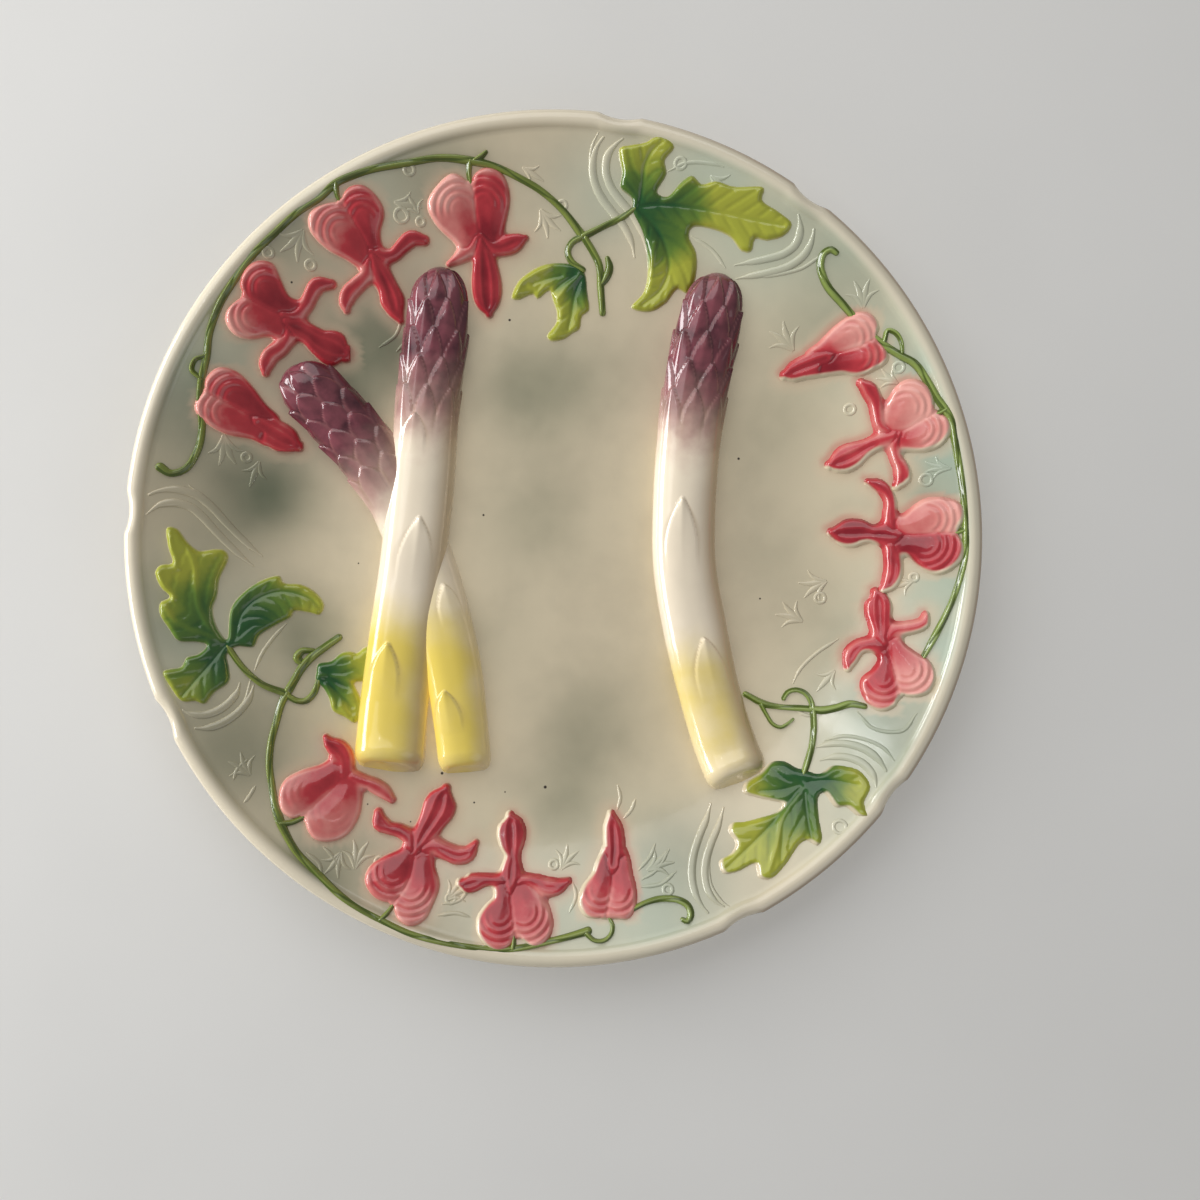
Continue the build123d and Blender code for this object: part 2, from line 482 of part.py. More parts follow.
                (-32.8, -75.6, 7.8), (-31.7, -72.8, 2.4),
            ],
        ],
    },
    "bottom_garland_flower_3": {
        "lobes": [
            [
                (-11.3, -112.2), (-12.4, -116.0), (-15.4, -117.4), (-18.8, -116.0), (-21.4, -112.8),
                (-21.6, -108.8), (-19.4, -105.6), (-17.0, -103.4), (-16.4, -100.4), (-14.6, -99.2),
                (-13.0, -101.6), (-12.0, -106.4),
            ],
            [
                (-10.9, -112.0), (-8.4, -114.8), (-4.8, -116.4), (-1.6, -114.6), (-0.3, -110.6),
                (-1.6, -106.0), (-5.0, -102.2), (-8.0, -99.5), (-10.4, -99.8), (-11.8, -102.0),
                (-11.6, -107.0),
            ],
        ],
        "strips": [
            [
                (-13.8, -98.7, 2.0), (-17.0, -98.4, 2.2), (-20.2, -98.5, 3.2), (-22.8, -99.1, 4.6),
                (-25.2, -99.6, 4.6), (-27.0, -99.2, 2.0),
            ],
            [
                (-10.2, -99.2, 1.8), (-7.6, -98.5, 2.2), (-4.8, -99.0, 3.2), (-2.0, -100.4, 4.6),
                (0.8, -100.5, 4.2), (4.2, -99.0, 1.6),
            ],
            [
                (-12.4, -101.4, 1.8), (-12.3, -98.0, 5.0), (-12.2, -94.8, 5.2), (-12.0, -92.0, 4.2),
                (-12.3, -88.8, 6.8), (-12.5, -85.0, 8.0), (-12.6, -82.4, 6.0), (-13.0, -80.6, 2.0),
            ],
        ],
    },
    "bottom_garland_bud": {
        "lobes": [
            [
                (15.2, -107.8), (12.6, -108.8), (9.0, -108.0), (7.4, -104.6), (8.6, -100.4),
                (11.2, -97.2), (13.0, -93.4), (15.2, -91.0), (16.8, -94.5), (16.6, -100.0),
                (15.8, -104.4),
            ],
            [
                (15.4, -107.9), (18.2, -108.8), (21.4, -108.8), (23.4, -105.8), (23.6, -101.0),
                (22.4, -96.6), (20.9, -92.0), (18.6, -91.2), (17.2, -95.0), (17.0, -100.0),
                (16.0, -104.6),
            ],
        ],
        "strips": [
            [(17.4, -94.0, 6.2), (17.6, -90.0, 5.8), (17.4, -86.0, 5.6), (17.0, -83.0, 4.6), (16.6, -80.2, 1.8)],
        ],
    },
}

# Which pieces each piece is laid over, where their outlines cross on the drawing
LAID_OVER = {
    "top_leaf_twig": ["top_scroll_left", "left_garland_stem"],
    "top_stub_twig": ["left_garland_stem", "top_leaf_twig"],
    "top_leaf_petiole": ["left_garland_stem", "top_leaf_twig", "top_stub_twig"],
    "left_stub_twig": ["bottom_garland_stem"],
    "left_leaf_petiole": ["bottom_garland_stem", "left_stub_twig"],
    "small_leaf_petiole": ["bottom_garland_stem", "left_stub_twig", "left_leaf_petiole"],
    "cross_twig_inner": ["bottom_leaf_crook"],
    "cross_twig_outer": ["bottom_leaf_crook", "cross_twig_inner"],
    "cross_twig_curl": ["cross_twig_inner"],
    "bottom_bud_calyx": ["bottom_garland_stem"],
    "spear_left_back_head": ["spear_left_front"],
    "spear_left_back_shaft": ["spear_left_front"],
    "top_leaf_large": ["top_scroll_left", "top_leaf_twig"],
    "top_leaf_small": ["top_leaf_petiole"],
    "left_leaf_large": ["left_leaf_petiole"],
    "left_leaf_small": ["small_leaf_petiole", "spear_left_front"],
    "bottom_leaf": ["bottom_leaf_crook", "spear_right"],
    "left_garland_flower_1": ["left_garland_stem"],
    "left_garland_flower_2": ["left_garland_stem"],
    "left_garland_flower_3": ["left_garland_stem"],
    "left_garland_bud": ["left_garland_stem"],
    "right_garland_bud": ["right_garland_stem"],
    "right_garland_flower_1": ["right_garland_stem"],
    "right_garland_flower_2": ["right_garland_stem"],
    "right_garland_flower_3": ["right_garland_stem", "right_garland_flower_2"],
    "bottom_garland_flower_1": ["bottom_garland_stem"],
    "bottom_garland_flower_2": ["bottom_garland_stem"],
    "bottom_garland_flower_3": ["bottom_garland_stem"],
    "bottom_garland_bud": ["bottom_bud_tendril", "bottom_bud_calyx"],
}


def section_point(radius, height):
    """A point of the plate's section, which stands on the XZ plane."""
    return (radius, 0, height)


def face_height(radius):
    """Height of the plate's face at a distance from its centre."""
    if radius <= WELL_RADIUS:
        return WELL_Z
    if radius <= BEND_END:
        return WELL_Z + BEND_RADIUS - math.sqrt(BEND_RADIUS**2 - (radius - WELL_RADIUS) ** 2)
    return BEND_END_Z + (radius - BEND_END) * math.tan(RIM_SLOPE)


def dish_line(end_radius, bend_radius, lift):
    """Flat well, round bend and straight slope in section, for a bend about the face's own centre."""
    bend_centre_z = WELL_Z + BEND_RADIUS + lift
    bend = []
    for share in (0, 0.5, 1):
        turn = RIM_SLOPE * share
        radius = WELL_RADIUS + bend_radius * math.sin(turn)
        bend.append(section_point(radius, bend_centre_z - bend_radius * math.cos(turn)))
    start, middle, end = bend
    slope_end = section_point(end_radius, end[2] + (end_radius - end[0]) * math.tan(RIM_SLOPE))
    flat = Line(section_point(0, start[2]), start)
    return [flat, ThreePointArc(start, middle, end), Line(end, slope_end)]


def turned(edges):
    """The solid that a closed section makes when it turns about the plate's axis."""
    return revolve(make_face(edges), Axis.Z, FULL_TURN)


def face_line(lift):
    """The plate's face up to the lip, raised by lift."""
    return dish_line(LIP_START, BEND_RADIUS, lift)


def face_layer(height):
    """A layer of even height that lies on the plate's face, inside the lip."""
    bottom = face_line(0)
    top = face_line(height)
    inner = Line(bottom[0] @ 0, top[0] @ 0)
    outer = Line(bottom[-1] @ 1, top[-1] @ 1)
    return turned([inner, *bottom, outer, *top])


def bed():
    """Everything under the plate's face, down to the foot's plane."""
    top = face_line(0)
    inner = Line(top[0] @ 0, section_point(0, 0))
    bottom = Line(section_point(0, 0), section_point(LIP_START, 0))
    outer = Line(section_point(LIP_START, 0), top[-1] @ 1)
    return turned([*top, outer, bottom, inner])


def foot_ring():
    """The ring that the plate rests on, let into the underside."""
    inner = FOOT_RADIUS - FOOT_WIDTH / 2
    outer = FOOT_RADIUS + FOOT_WIDTH / 2
    root_z = FOOT_HEIGHT + BODY_THICKNESS / 2
    corners = [
        section_point(inner, 0),
        section_point(outer, 0),
        section_point(outer + FOOT_DRAFT, root_z),
        section_point(inner - FOOT_DRAFT, root_z),
    ]
    return turned(Polyline(*corners, close=True))


def rim_notches():
    """Shallow scallops in the edge, one at each end of the three leaf fields."""
    cutters = []
    for angle in NOTCH_ANGLES_DEG:
        reach = PLATE_RADIUS + NOTCH_RADIUS - NOTCH_DEPTH
        place = Rot(0, 0, angle) * Pos(reach, 0, 0)
        cutters.append(place * extrude(Circle(NOTCH_RADIUS), PLATE_RADIUS))
    return cutters


def plate_body():
    """Dished body of even thickness with a rolled lip, a foot ring and a notched edge."""
    top = face_line(0)
    under = dish_line(LIP_START, BEND_RADIUS + BODY_THICKNESS, 0)
    lip_in = top[-1] @ 1
    crest = section_point(LIP_START + LIP_WIDTH / 2, lip_in.Z + LIP_RISE)
    edge = section_point(PLATE_RADIUS, lip_in.Z)
    roll = ThreePointArc(lip_in, crest, edge)
    brim = TangentArc(edge, under[-1] @ 1, tangent=(0, 0, -1))
    axis = Line(under[0] @ 0, top[0] @ 0)
    return turned([*top, roll, brim, *under, axis]) + foot_ring() - rim_notches()


def on_plate(x, y):
    """A place on the squared drawing as a point over the plate."""
    return Vector(x, y) * SQUARE


def headings(points):
    """Direction of a strip or spear at each of its points."""
    places = [on_plate(x, y) for x, y, _ in points]
    before = [places[0], *places[:-1]]
    after = [*places[1:], places[-1]]
    return [(b - a).normalized() for a, b in zip(before, after)]


def outline(points):
    """A smooth closed outline on the drawing."""
    return make_face(Spline([on_plate(x, y) for x, y in points], periodic=True))


def strip(points):
    """A tapered strip along its middle line, with round ends."""
    left = []
    right = []
    for (x, y, width), heading in zip(points, headings(points)):
        aside = heading.rotate(Axis.Z, 90) * (width * SQUARE / 2)
        left.append(on_plate(x, y) + aside)
        right.append(on_plate(x, y) - aside)
    first_x, first_y, first_width = points[0]
    last_x, last_y, last_width = points[-1]
    back = on_plate(first_x, first_y) - headings(points)[0] * (first_width * SQUARE / 2)
    front = on_plate(last_x, last_y) + headings(points)[-1] * (last_width * SQUARE / 2)
    edges = [
        Spline(left),
        ThreePointArc(left[-1], front, right[-1]),
        Spline(right),
        ThreePointArc(right[0], back, left[0]),
    ]
    return make_face(edges)


def relief(drawn, height):
    """Shapes of the drawing joined and raised to one height above the plate's face."""
    joined = drawn[0]
    for shape in drawn[1:]:
        joined += shape
    return extrude(joined, PLATE_RADIUS) & face_layer(height)


def flower(form):
    """Two lobes with the arms and the drop that hang from them."""
    lobes = [outline(points) for points in form["lobes"]]
    strips = [strip(points) for points in form["strips"]]
    return relief(lobes + strips, FLOWER_HEIGHT)


def spear(route):
    """A round asparagus spear that lies bedded on the plate's face."""
    sections = []
    for (x, y, width), heading in zip(route, headings(route)):
        radius = width * SQUARE / 2
        place = on_plate(x, y)
        centre_z = face_height(place.length) + SPEAR_LIFT_SHARE * radius
        lean = math.radians(SPEAR_CUT_TILT_DEG) if len(sections) == len(route) - 1 else 0
        normal = heading * math.cos(lean) + Vector(0, 0, math.sin(lean))
        side = heading.rotate(Axis.Z, 90)
        plane = Plane((place.X, place.Y, centre_z), x_dir=side, z_dir=normal)
        sections.append(plane * Circle(radius))
    return loft(sections) - bed()


def laid_over(shape, placed):
    """What is left of a piece once the pieces under it have taken their room."""
    for other in placed:
        shape -= other
    return max(shape.solids(), key=lambda solid: solid.volume)


def relief_pieces():
    """All raised pieces in the order in which they are laid on the plate."""
    raised = {name: relief([strip(points)], SCROLL_HEIGHT) for name, points in SCROLLS.items()}
    for name, strips in {**STEMS, **TWIGS}.items():
        raised[name] = relief([strip(points) for points in strips], STEM_HEIGHT)
    raised.update({name: spear(route) for name, route in SPEARS.items()})
    raised.update({name: relief([outline(points)], LEAF_HEIGHT) for name, points in LEAVES.items()})
    raised.update({name: flower(form) for name, form in FLOWERS.items()})
    pieces = {}
    for name, shape in raised.items():
        pieces[name] = laid_over(shape, [pieces[under] for under in LAID_OVER.get(name, [])])
    return pieces


def main():
    """Make every piece and write it to its own file."""
    os.makedirs("parts", exist_ok=True)
    pieces = {"plate_body": plate_body().solid(), **relief_pieces()}
    for name, shape in pieces.items():
        export_step(shape, f"parts/{name}.step")


main()
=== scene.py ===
"""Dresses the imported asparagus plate: a dished body with glazed asparagus spears, garlands and leaves."""
import functools
import math

import bmesh
import bpy
import numpy as np
from mathutils import Matrix, Vector


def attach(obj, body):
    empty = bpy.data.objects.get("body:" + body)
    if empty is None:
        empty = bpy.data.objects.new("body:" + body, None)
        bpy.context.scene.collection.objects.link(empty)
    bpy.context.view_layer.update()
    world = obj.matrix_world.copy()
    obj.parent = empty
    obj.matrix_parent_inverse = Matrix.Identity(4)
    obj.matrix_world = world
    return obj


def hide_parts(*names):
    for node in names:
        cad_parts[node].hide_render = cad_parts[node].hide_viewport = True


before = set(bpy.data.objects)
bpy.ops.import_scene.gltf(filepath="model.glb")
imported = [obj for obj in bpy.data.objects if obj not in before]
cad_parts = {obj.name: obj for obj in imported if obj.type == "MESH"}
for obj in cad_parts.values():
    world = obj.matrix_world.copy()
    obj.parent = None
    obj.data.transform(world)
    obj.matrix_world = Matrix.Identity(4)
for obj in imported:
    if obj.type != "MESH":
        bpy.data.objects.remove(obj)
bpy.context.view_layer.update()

bl_info = {
    "name": "Asparagus plate",
    "version": (1, 0, 0),
    "blender": (4, 5, 0),
    "location": "View3D > Sidebar > Plate",
    "description": "Models and glazes a majolica asparagus plate around its packed solids",
    "category": "Object",
}

# The drawing below is in mm, and meshes are in metres
MM = 0.001
BODY = "root"
PIECE_ENDING = "_glazed"
GROUND_NAME = "Cream glaze"

# Section of the plate
PLATE_RADIUS = 122.5
BODY_THICKNESS = 5.0
WELL_RADIUS = 62.0
BEND_RADIUS = 100.0
RIM_SLOPE = math.radians(20.0)
LIP_WIDTH = 2.8
BEAD_START = 117.4
BEAD_DROP = 0.6
FOOT_RADIUS = 69.5
FOOT_WIDTH = 4.0
FOOT_HEIGHT = 4.0
FOOT_DRAFT = 1.5
NOTCH_RADIUS = 15.0
NOTCH_ANGLES_DEG = (53.0, 81.0, 176.5, 205.0, 296.5, 323.0)
WELL_Z = FOOT_HEIGHT + BODY_THICKNESS
LIP_START = PLATE_RADIUS - LIP_WIDTH
BEND_END = WELL_RADIUS + BEND_RADIUS * math.sin(RIM_SLOPE)
BEND_END_Z = WELL_Z + BEND_RADIUS * (1 - math.cos(RIM_SLOPE))
FOOT_ROUND = 0.5
FOOT_CORNER = FOOT_ROUND / 3
NOTCH_BAND = 9.0

# Fineness of lines, grids and turned surfaces
LINE_STEP = 0.9
PAD_STEP = 0.42
STRIP_STEP = 0.7
STRIP_SIDES = 20
SPEAR_STEP = 0.4
SPEAR_SIDES = 132
RING_POINTS = 10
TURN_STEPS = 600
FACE_STEP = 1.25
LIP_STEPS = 14
UNDER_STEPS = 10
MERGE_DISTANCE = 0.001
SMALL = 0.05
FAR_OUT = -9.0

# Pads on the plate's face, under flowers and leaves
PAD_MARGIN = 1.6
PAD_EDGE = 0.9
PAD_BED = 1.5
PAD_TOP_TEST = 0.2
PAD_MARKS = ("height", "tone", "paint")
DIVE_SLOPE = 1.4

# Round strips: stems with a winding groove, scrolls of two ridges, and tracery
END_SHARES = (1.0, 0.86, 0.6, 0.3)
STRIP_SINK = 1.0
STEM_WIDTH_SHARE = 0.92
GROOVE_DEPTH = 0.26
GROOVE_SWAY = 0.6
GROOVE_RUN = 4.0
GROOVE_WIDTH = 0.36
TAPER = 0.22
TAPER_END = 0.35
SCROLL_OFFSETS = (-1.9, 1.9)
SPRAY_SIDE_FALL = 0.3

# Flowers: shares of their height, widths of their edges, and how the tone runs
FLOWER_GROWTH = 0.35
SEAM_FILL = 1.2
SEAM_WIDTH = 0.5
SEAM_FADE = (1.5, 4.0)
SEAM_DEPTH = 0.35
SEAM_TONE = 0.16
PART_BLEND = 0.7
LOBE_SHARE = 0.66
LOBE_CROWN = 0.2
LOBE_CROWN_WIDTH = 5.0
LOBE_EDGE = 2.0
LOBE_RIM = 0.8
ARC_END_SHARE = 0.93
ARC_CENTRE_SHARE = 0.5
ARC_FACING = (-0.15, 0.55)
ARC_RADII = (1.0, 4.0)
LOBE_RIDGE = 0.16
LOBE_RIDGE_SPACING = 2.0
LOBE_TONE_FALL = 0.6
LOBE_TONE_MIDDLE = 0.5
RIDGE_TONE = 0.06
RIDGE_SHARES = {"bottom_garland_flower_1": 0.25}
RIM_RISE = 0.2
RIM_TONE = 0.24
RIM_BAND = 0.5
STRIP_LIFT = 0.3
STRIP_EDGE = 2.0
STRIP_VALLEY = 0.45
STRIP_VALLEY_SHARE = 0.35
STRIP_VALLEY_FADE = (1.4, 3.2)
STRIP_LOOP_SHARE = 0.62
STRIP_LOOP_WIDTH = 0.4
STRIP_LOOP_RISE = 0.18
STRIP_LOOP_TONE = 0.14
STRIP_TONE_DIP = 0.1
STRIP_TIP_DARK = 0.25
STRIP_TIP_FADE = (0.6, 1.0)

# Leaves
LEAF_SHARE = 0.6
LEAF_EDGE = 1.5
LEAF_RIM = 0.6
LEAF_PUFF = 0.5
LEAF_PUFF_WIDTH = 2.6
FOLD_WIDTH = 0.8
FOLD_RISE = 0.4
FOLD_TONE = 0.16
VEIN_WIDTH = 0.55
VEIN_DEPTH = 0.35
VEIN_TONE = 0.15
SIDE_VEIN_SPACING = 4.6
SIDE_VEIN_SLANT = 1.0
SIDE_VEIN_START = 0.1
SIDE_VEIN_FADE_IN = (0.3, 1.6)
SIDE_VEIN_DEPTH = 0.18
SIDE_VEIN_TONE = 0.07
LEAF_TONE_RISE = 0.95
LEAF_EDGE_TONE = 0.2
LEAF_EDGE_BAND = 3.0
LEAF_RIM_TONE = 0.1

# Spears
SPEAR_LIFT_SHARE = 0.2
SPEAR_FLATNESS = 0.84
SPEAR_SQUARENESS = 2.5
SPEAR_CUT_TILT = math.radians(22.0)
SPEAR_BED = 2.5
CROSSED_SPEARS = ("spear_left_back_head", "spear_left_back_shaft")
UNCUT_SPEARS = ("spear_left_back_head",)
SPEAR_CROSSING = (-40.7, 0.0)
CROSSING_DIP = 3.2
CROSSING_WIDTH = 20.0
SPEAR_MARKS = ("purple", "lemon", "edge", "hollow_and_flank_shade")
# Scales around a head, rows of them, step from row to row, and the share of a scale that is its point
HEAD_SHAPES = {
    "spear_left_front": (9, 5, 8.4, 0.7),
    "spear_right": (9, 5, 8.4, 0.7),
    "spear_left_back_head": (8, 6, 7.0, 0.42),
}
NO_HEAD = (0, 0, 0.0, 0.0)
HEAD_FULL_HALF = 8.0
TIP_LENGTH = 13.0
HEAD_START = 1.6
HEAD_SCALE_ROWS = 1.95
HEAD_SCALE_FILL = 1.05
HEAD_FADE = 0.45
BRACT_STEP_SHARE = 0.6
BRACT_POINT = 0.7
SCALE_SIDE_FADE = (-0.2, 0.45)
OGIVE_POWER = 0.8
SCALE_SOFTNESS = 0.13
SCALE_PILLOW = 0.45
SCALE_RIB = 0.2
SCALE_RIB_WIDTH = 0.7
SCALE_LINE = 0.1
SCALE_LINE_WIDTH = 0.1
HOLLOW_REACH = 0.5
BUTT_ROUND = 0.3
BUTT_BAND = 4.0
CUT_BAND = 12.0
CAP_SIDES = 8

# Screen colours, and the sockets of a mix node that carry colours
SCREEN_LEVELS = 255
SCREEN_TOE = 0.04045
SCREEN_TOE_SLOPE = 12.92
SCREEN_OFFSET = 0.055
SCREEN_POWER = 2.4
MIX_COLOURS = slice(6, 8)
MIX_RESULT = 2

# Marks for the glazes, and the glassy top of each
FACE_TEST = 1.0
CLOUD_SPREAD = 1.25
WARM_REACH = 5.0
WARM_SHARE = 0.55
SPILL_REACH = 1.0
SPILL_SHARE = 0.35
LIP_SHARE = 0.8
UNDER_SAGE = 0.12
FOOT_WEAR = 0.3
# Painted shade on the outer lip edge at the plate's right, the side away from the window light: band of
# radii, span of x and strength
RIGHT_EDGE_SHADE_BAND = (121.2, 122.2)
RIGHT_EDGE_SHADE_SIDE = (10.0, 70.0)
RIGHT_EDGE_SHADE_SHARE = 0.75
RIPPLE_SCALE = 220.0
RIPPLE_DEPTH = 0.0004
GLAZE_IOR = 1.5
GLAZE_COAT = 0.4
GLAZE_COAT_ROUGHNESS = 0.05
UNEVEN_NOISE = (RIPPLE_SCALE, 2.0)
UNEVEN_SPAN = (0.3, 0.7)
UNEVEN_SHARES = (0.8, 1.25)
RIPPLE_NOISE = (RIPPLE_SCALE, 3.0)
CREAM_FINISH = (0.16, 0.12)
SPEAR_FINISH = (0.14, 0.1)
STEM_FINISH = (0.14, 0.1)
PAINTED_FINISH = (0.15, 0.12)

# Glazes: scale and detail of their noises, and the spans in which they change
CREAM_DEEPER = 0.9
CREAM_NOISE = (60.0, 4.0)
CREAM_SPAN = (0.35, 0.75)
WASH_NOISE = (30.0, 3.0)
WASH_SPAN = (0.25, 0.8)
WASH_SHARES = (0.75, 1.15)
SPECK_SPAN = (0.6, 1.2)
SHAFT_NOISE = (45.0, 4.0)
SHAFT_SPAN = (0.35, 0.75)
DRIFT_NOISE = (90.0, 4.0)
DRIFT_SPAN = (0.2, 0.8)
DRIFT_REACH = 0.12
MOTTLE_NOISE = (160.0, 5.0)
MOTTLE_SPAN = (0.35, 0.8)
PURPLE_FADE = (24.0, 66.0)
PURPLE_SPAN = (0.24, 1.0)
BLUSH_SPAN = (0.12, 0.6)
BLUSH_SHARE = 0.62
# Distances from the butt of a spear, and how strong the lemon glaze is there
LEMON_BANDS = {
    "spear_left_front": ((0.0, 6.0, 36.0, 56.0), (0.85, 1.0, 0.95, 0.0)),
    "spear_right": ((0.0, 14.0, 34.0, 50.0), (0.4, 0.62, 0.72, 0.0)),
    "spear_left_back_head": ((0.0, 1.0), (0.0, 0.0)),
    "spear_left_back_shaft": ((0.0, 6.0, 32.0, 64.0), (0.85, 1.0, 1.0, 0.0)),
}
LEMON_SPAN = (0.05, 1.05)
LEMON_SHARE = 0.9
LEMON_SIDE = 0.4
LEMON_SIDE_FADE = (0.1, 0.95)
# Share of dark glaze in the scales' hollows and in the painted shade down the spears' right flanks
HOLLOW_AND_FLANK_SHADE_SHARE = 0.95
EDGE_SHARE = 0.38
# Painted shade: each spear's right flank, the side away from the window light, darkens to tan on the shaft
# and dark purple on the head; strength per spear, and the span of the side over which it comes in
FLANK_SHADE_SHARES = {
    "spear_left_front": 0.75,
    "spear_right": 0.8,
    "spear_left_back_head": 0.6,
    "spear_left_back_shaft": 0.3,
}
FLANK_SHADE_FADE = (0.35, 0.9)
POOLED_SPAN = (0.6, 1.1)
PATCHY_NOISE = (90.0, 3.0)
PATCHY_SPAN = (0.4, 0.75)
PATCHY_SHARE = 0.8
# Painted light: stems paler towards the plate's right, where the window light falls, and darker on the
# shaded left; span of object x in metres
STEM_PAINTED_LIGHT_SPAN = (-0.03, 0.09)
PAINT_SPAN = (0.25, 0.75)
PAINT_MOTTLE = 0.14
PAINT_EDGE = 0.45
LEAF_NOISE = (90.0, 4.0)
LEAF_STOPS = (0.0, 0.45, 0.9)
FLOWER_NOISE = (110.0, 4.0)
FLOWER_STOPS = (0.0, 0.4, 0.95)

# Stage: places and sizes in metres, and the camera's sensor in mm
WINDOW_PLACE = (-1.0, 0.1, 0.25)
WINDOW_SIZE = (0.9, 0.36)
SKY_PLACE = (-0.5, 0.9, 1.1)
SKY_SIZE = (2.0, 1.4)
FILL_PLACE = (0.8, -0.8, 0.9)
FILL_SIZE = (1.0, 1.0)
GLINT_PLACE = (-0.4, 0.28, 1.07)
GLINT_SIZE = (0.03, 0.06)
CAMERA_PLACE = (0.0134, -0.0176, 0.47)
CAMERA_NEAR = 0.01
SENSOR_WIDTH = 36.0
WHITE = (1, 1, 1, 1)
FLOOR_DEEPER = 0.97
FLOOR_NOISE = (9.0, 3.0)
FLOOR_SPAN = (0.3, 0.7)
FLOOR_ROUGHNESS = 0.8

# Spears, from the tip to the cut end
SPEARS = {
    "spear_left_front": [
        (-33.9, 78.2, 3.0), (-33.7, 76.6, 9.0), (-33.5, 73.5, 13.0), (-33.6, 68.0, 16.0),
        (-34.4, 60.0, 17.8), (-36.9, 40.0, 18.3), (-39.0, 15.0, 19.0), (-41.9, -10.0, 19.0),
        (-44.8, -30.0, 19.2), (-47.0, -50.0, 20.0), (-48.2, -66.5, 20.4),
    ],
    "spear_right": [
        (47.9, 76.2, 3.0), (47.7, 74.8, 8.0), (47.2, 72.0, 12.4), (46.2, 67.5, 15.6), (44.6, 60.0, 18.0),
        (42.4, 50.0, 18.4), (39.6, 31.0, 18.6), (38.0, 8.0, 18.4), (38.2, -8.0, 18.4),
        (41.2, -26.0, 18.6), (45.5, -45.0, 18.0), (50.0, -60.0, 18.2), (53.9, -69.8, 18.2),
    ],
    "spear_left_back_head": [
        (-76.6, 48.4, 3.0), (-75.6, 47.4, 9.0), (-73.4, 45.6, 13.4), (-69.6, 42.4, 16.6),
        (-63.5, 36.0, 17.8), (-54.0, 24.8, 18.0), (-46.4, 13.0, 18.0), (-40.7, 0.0, 18.0),
    ],
    "spear_left_back_shaft": [
        (-40.7, 0.0, 18.0), (-37.2, -10.0, 17.8), (-34.0, -20.0, 17.4), (-29.6, -38.0, 16.6),
        (-27.4, -54.0, 15.8), (-26.0, -67.5, 15.4),
    ],
}

# Low scrolls that frame the three leaf fields on the rim
SCROLLS = {
    "top_scroll_left": [
        (21.0, 117.0, 1.6), (17.2, 114.7, 2.2), (14.0, 111.0, 2.4), (13.2, 106.0, 2.4),
        (14.8, 101.0, 2.4), (18.3, 96.4, 2.4), (21.6, 92.8, 2.2), (24.4, 87.5, 2.0), (25.4, 83.0, 1.4),
    ],
    "top_scroll_right": [
        (70.4, 96.6, 1.6), (72.2, 92.2, 2.2), (72.6, 87.5, 2.4), (71.0, 83.3, 2.4), (67.4, 80.6, 2.4),
        (62.0, 79.2, 2.2), (56.5, 78.4, 1.8), (52.8, 77.8, 1.2),
    ],
    "left_scroll_upper": [
        (-117.4, 8.4, 1.6), (-113.6, 11.4, 2.2), (-108.6, 12.3, 2.4), (-104.0, 11.0, 2.4),
        (-100.4, 8.0, 2.4), (-97.0, 4.0, 2.2), (-93.4, 0.0, 2.0), (-89.4, -3.9, 1.8), (-86.6, -6.2, 1.2),
    ],
    "left_scroll_lower": [
        (-89.0, -42.0, 1.4), (-89.8, -45.0, 2.0), (-91.8, -48.0, 2.2), (-95.5, -51.0, 2.4),
        (-100.0, -52.4, 2.2), (-105.0, -51.6, 2.0), (-108.6, -49.2, 1.4),
    ],
    "bottom_scroll_left": [
        (47.6, -77.5, 1.4), (46.2, -82.0, 2.0), (44.0, -87.0, 2.2), (42.3, -92.0, 2.4),
        (41.8, -97.0, 2.4), (42.8, -101.8, 2.2), (45.5, -105.5, 2.0), (50.0, -107.8, 1.4),
    ],
    "bottom_scroll_right": [
        (76.6, -62.2, 1.4), (81.0, -61.0, 2.0), (85.6, -61.2, 2.2), (90.0, -63.0, 2.4),
        (93.0, -66.3, 2.2), (94.2, -70.0, 2.0), (93.8, -74.0, 1.4),
    ],
}

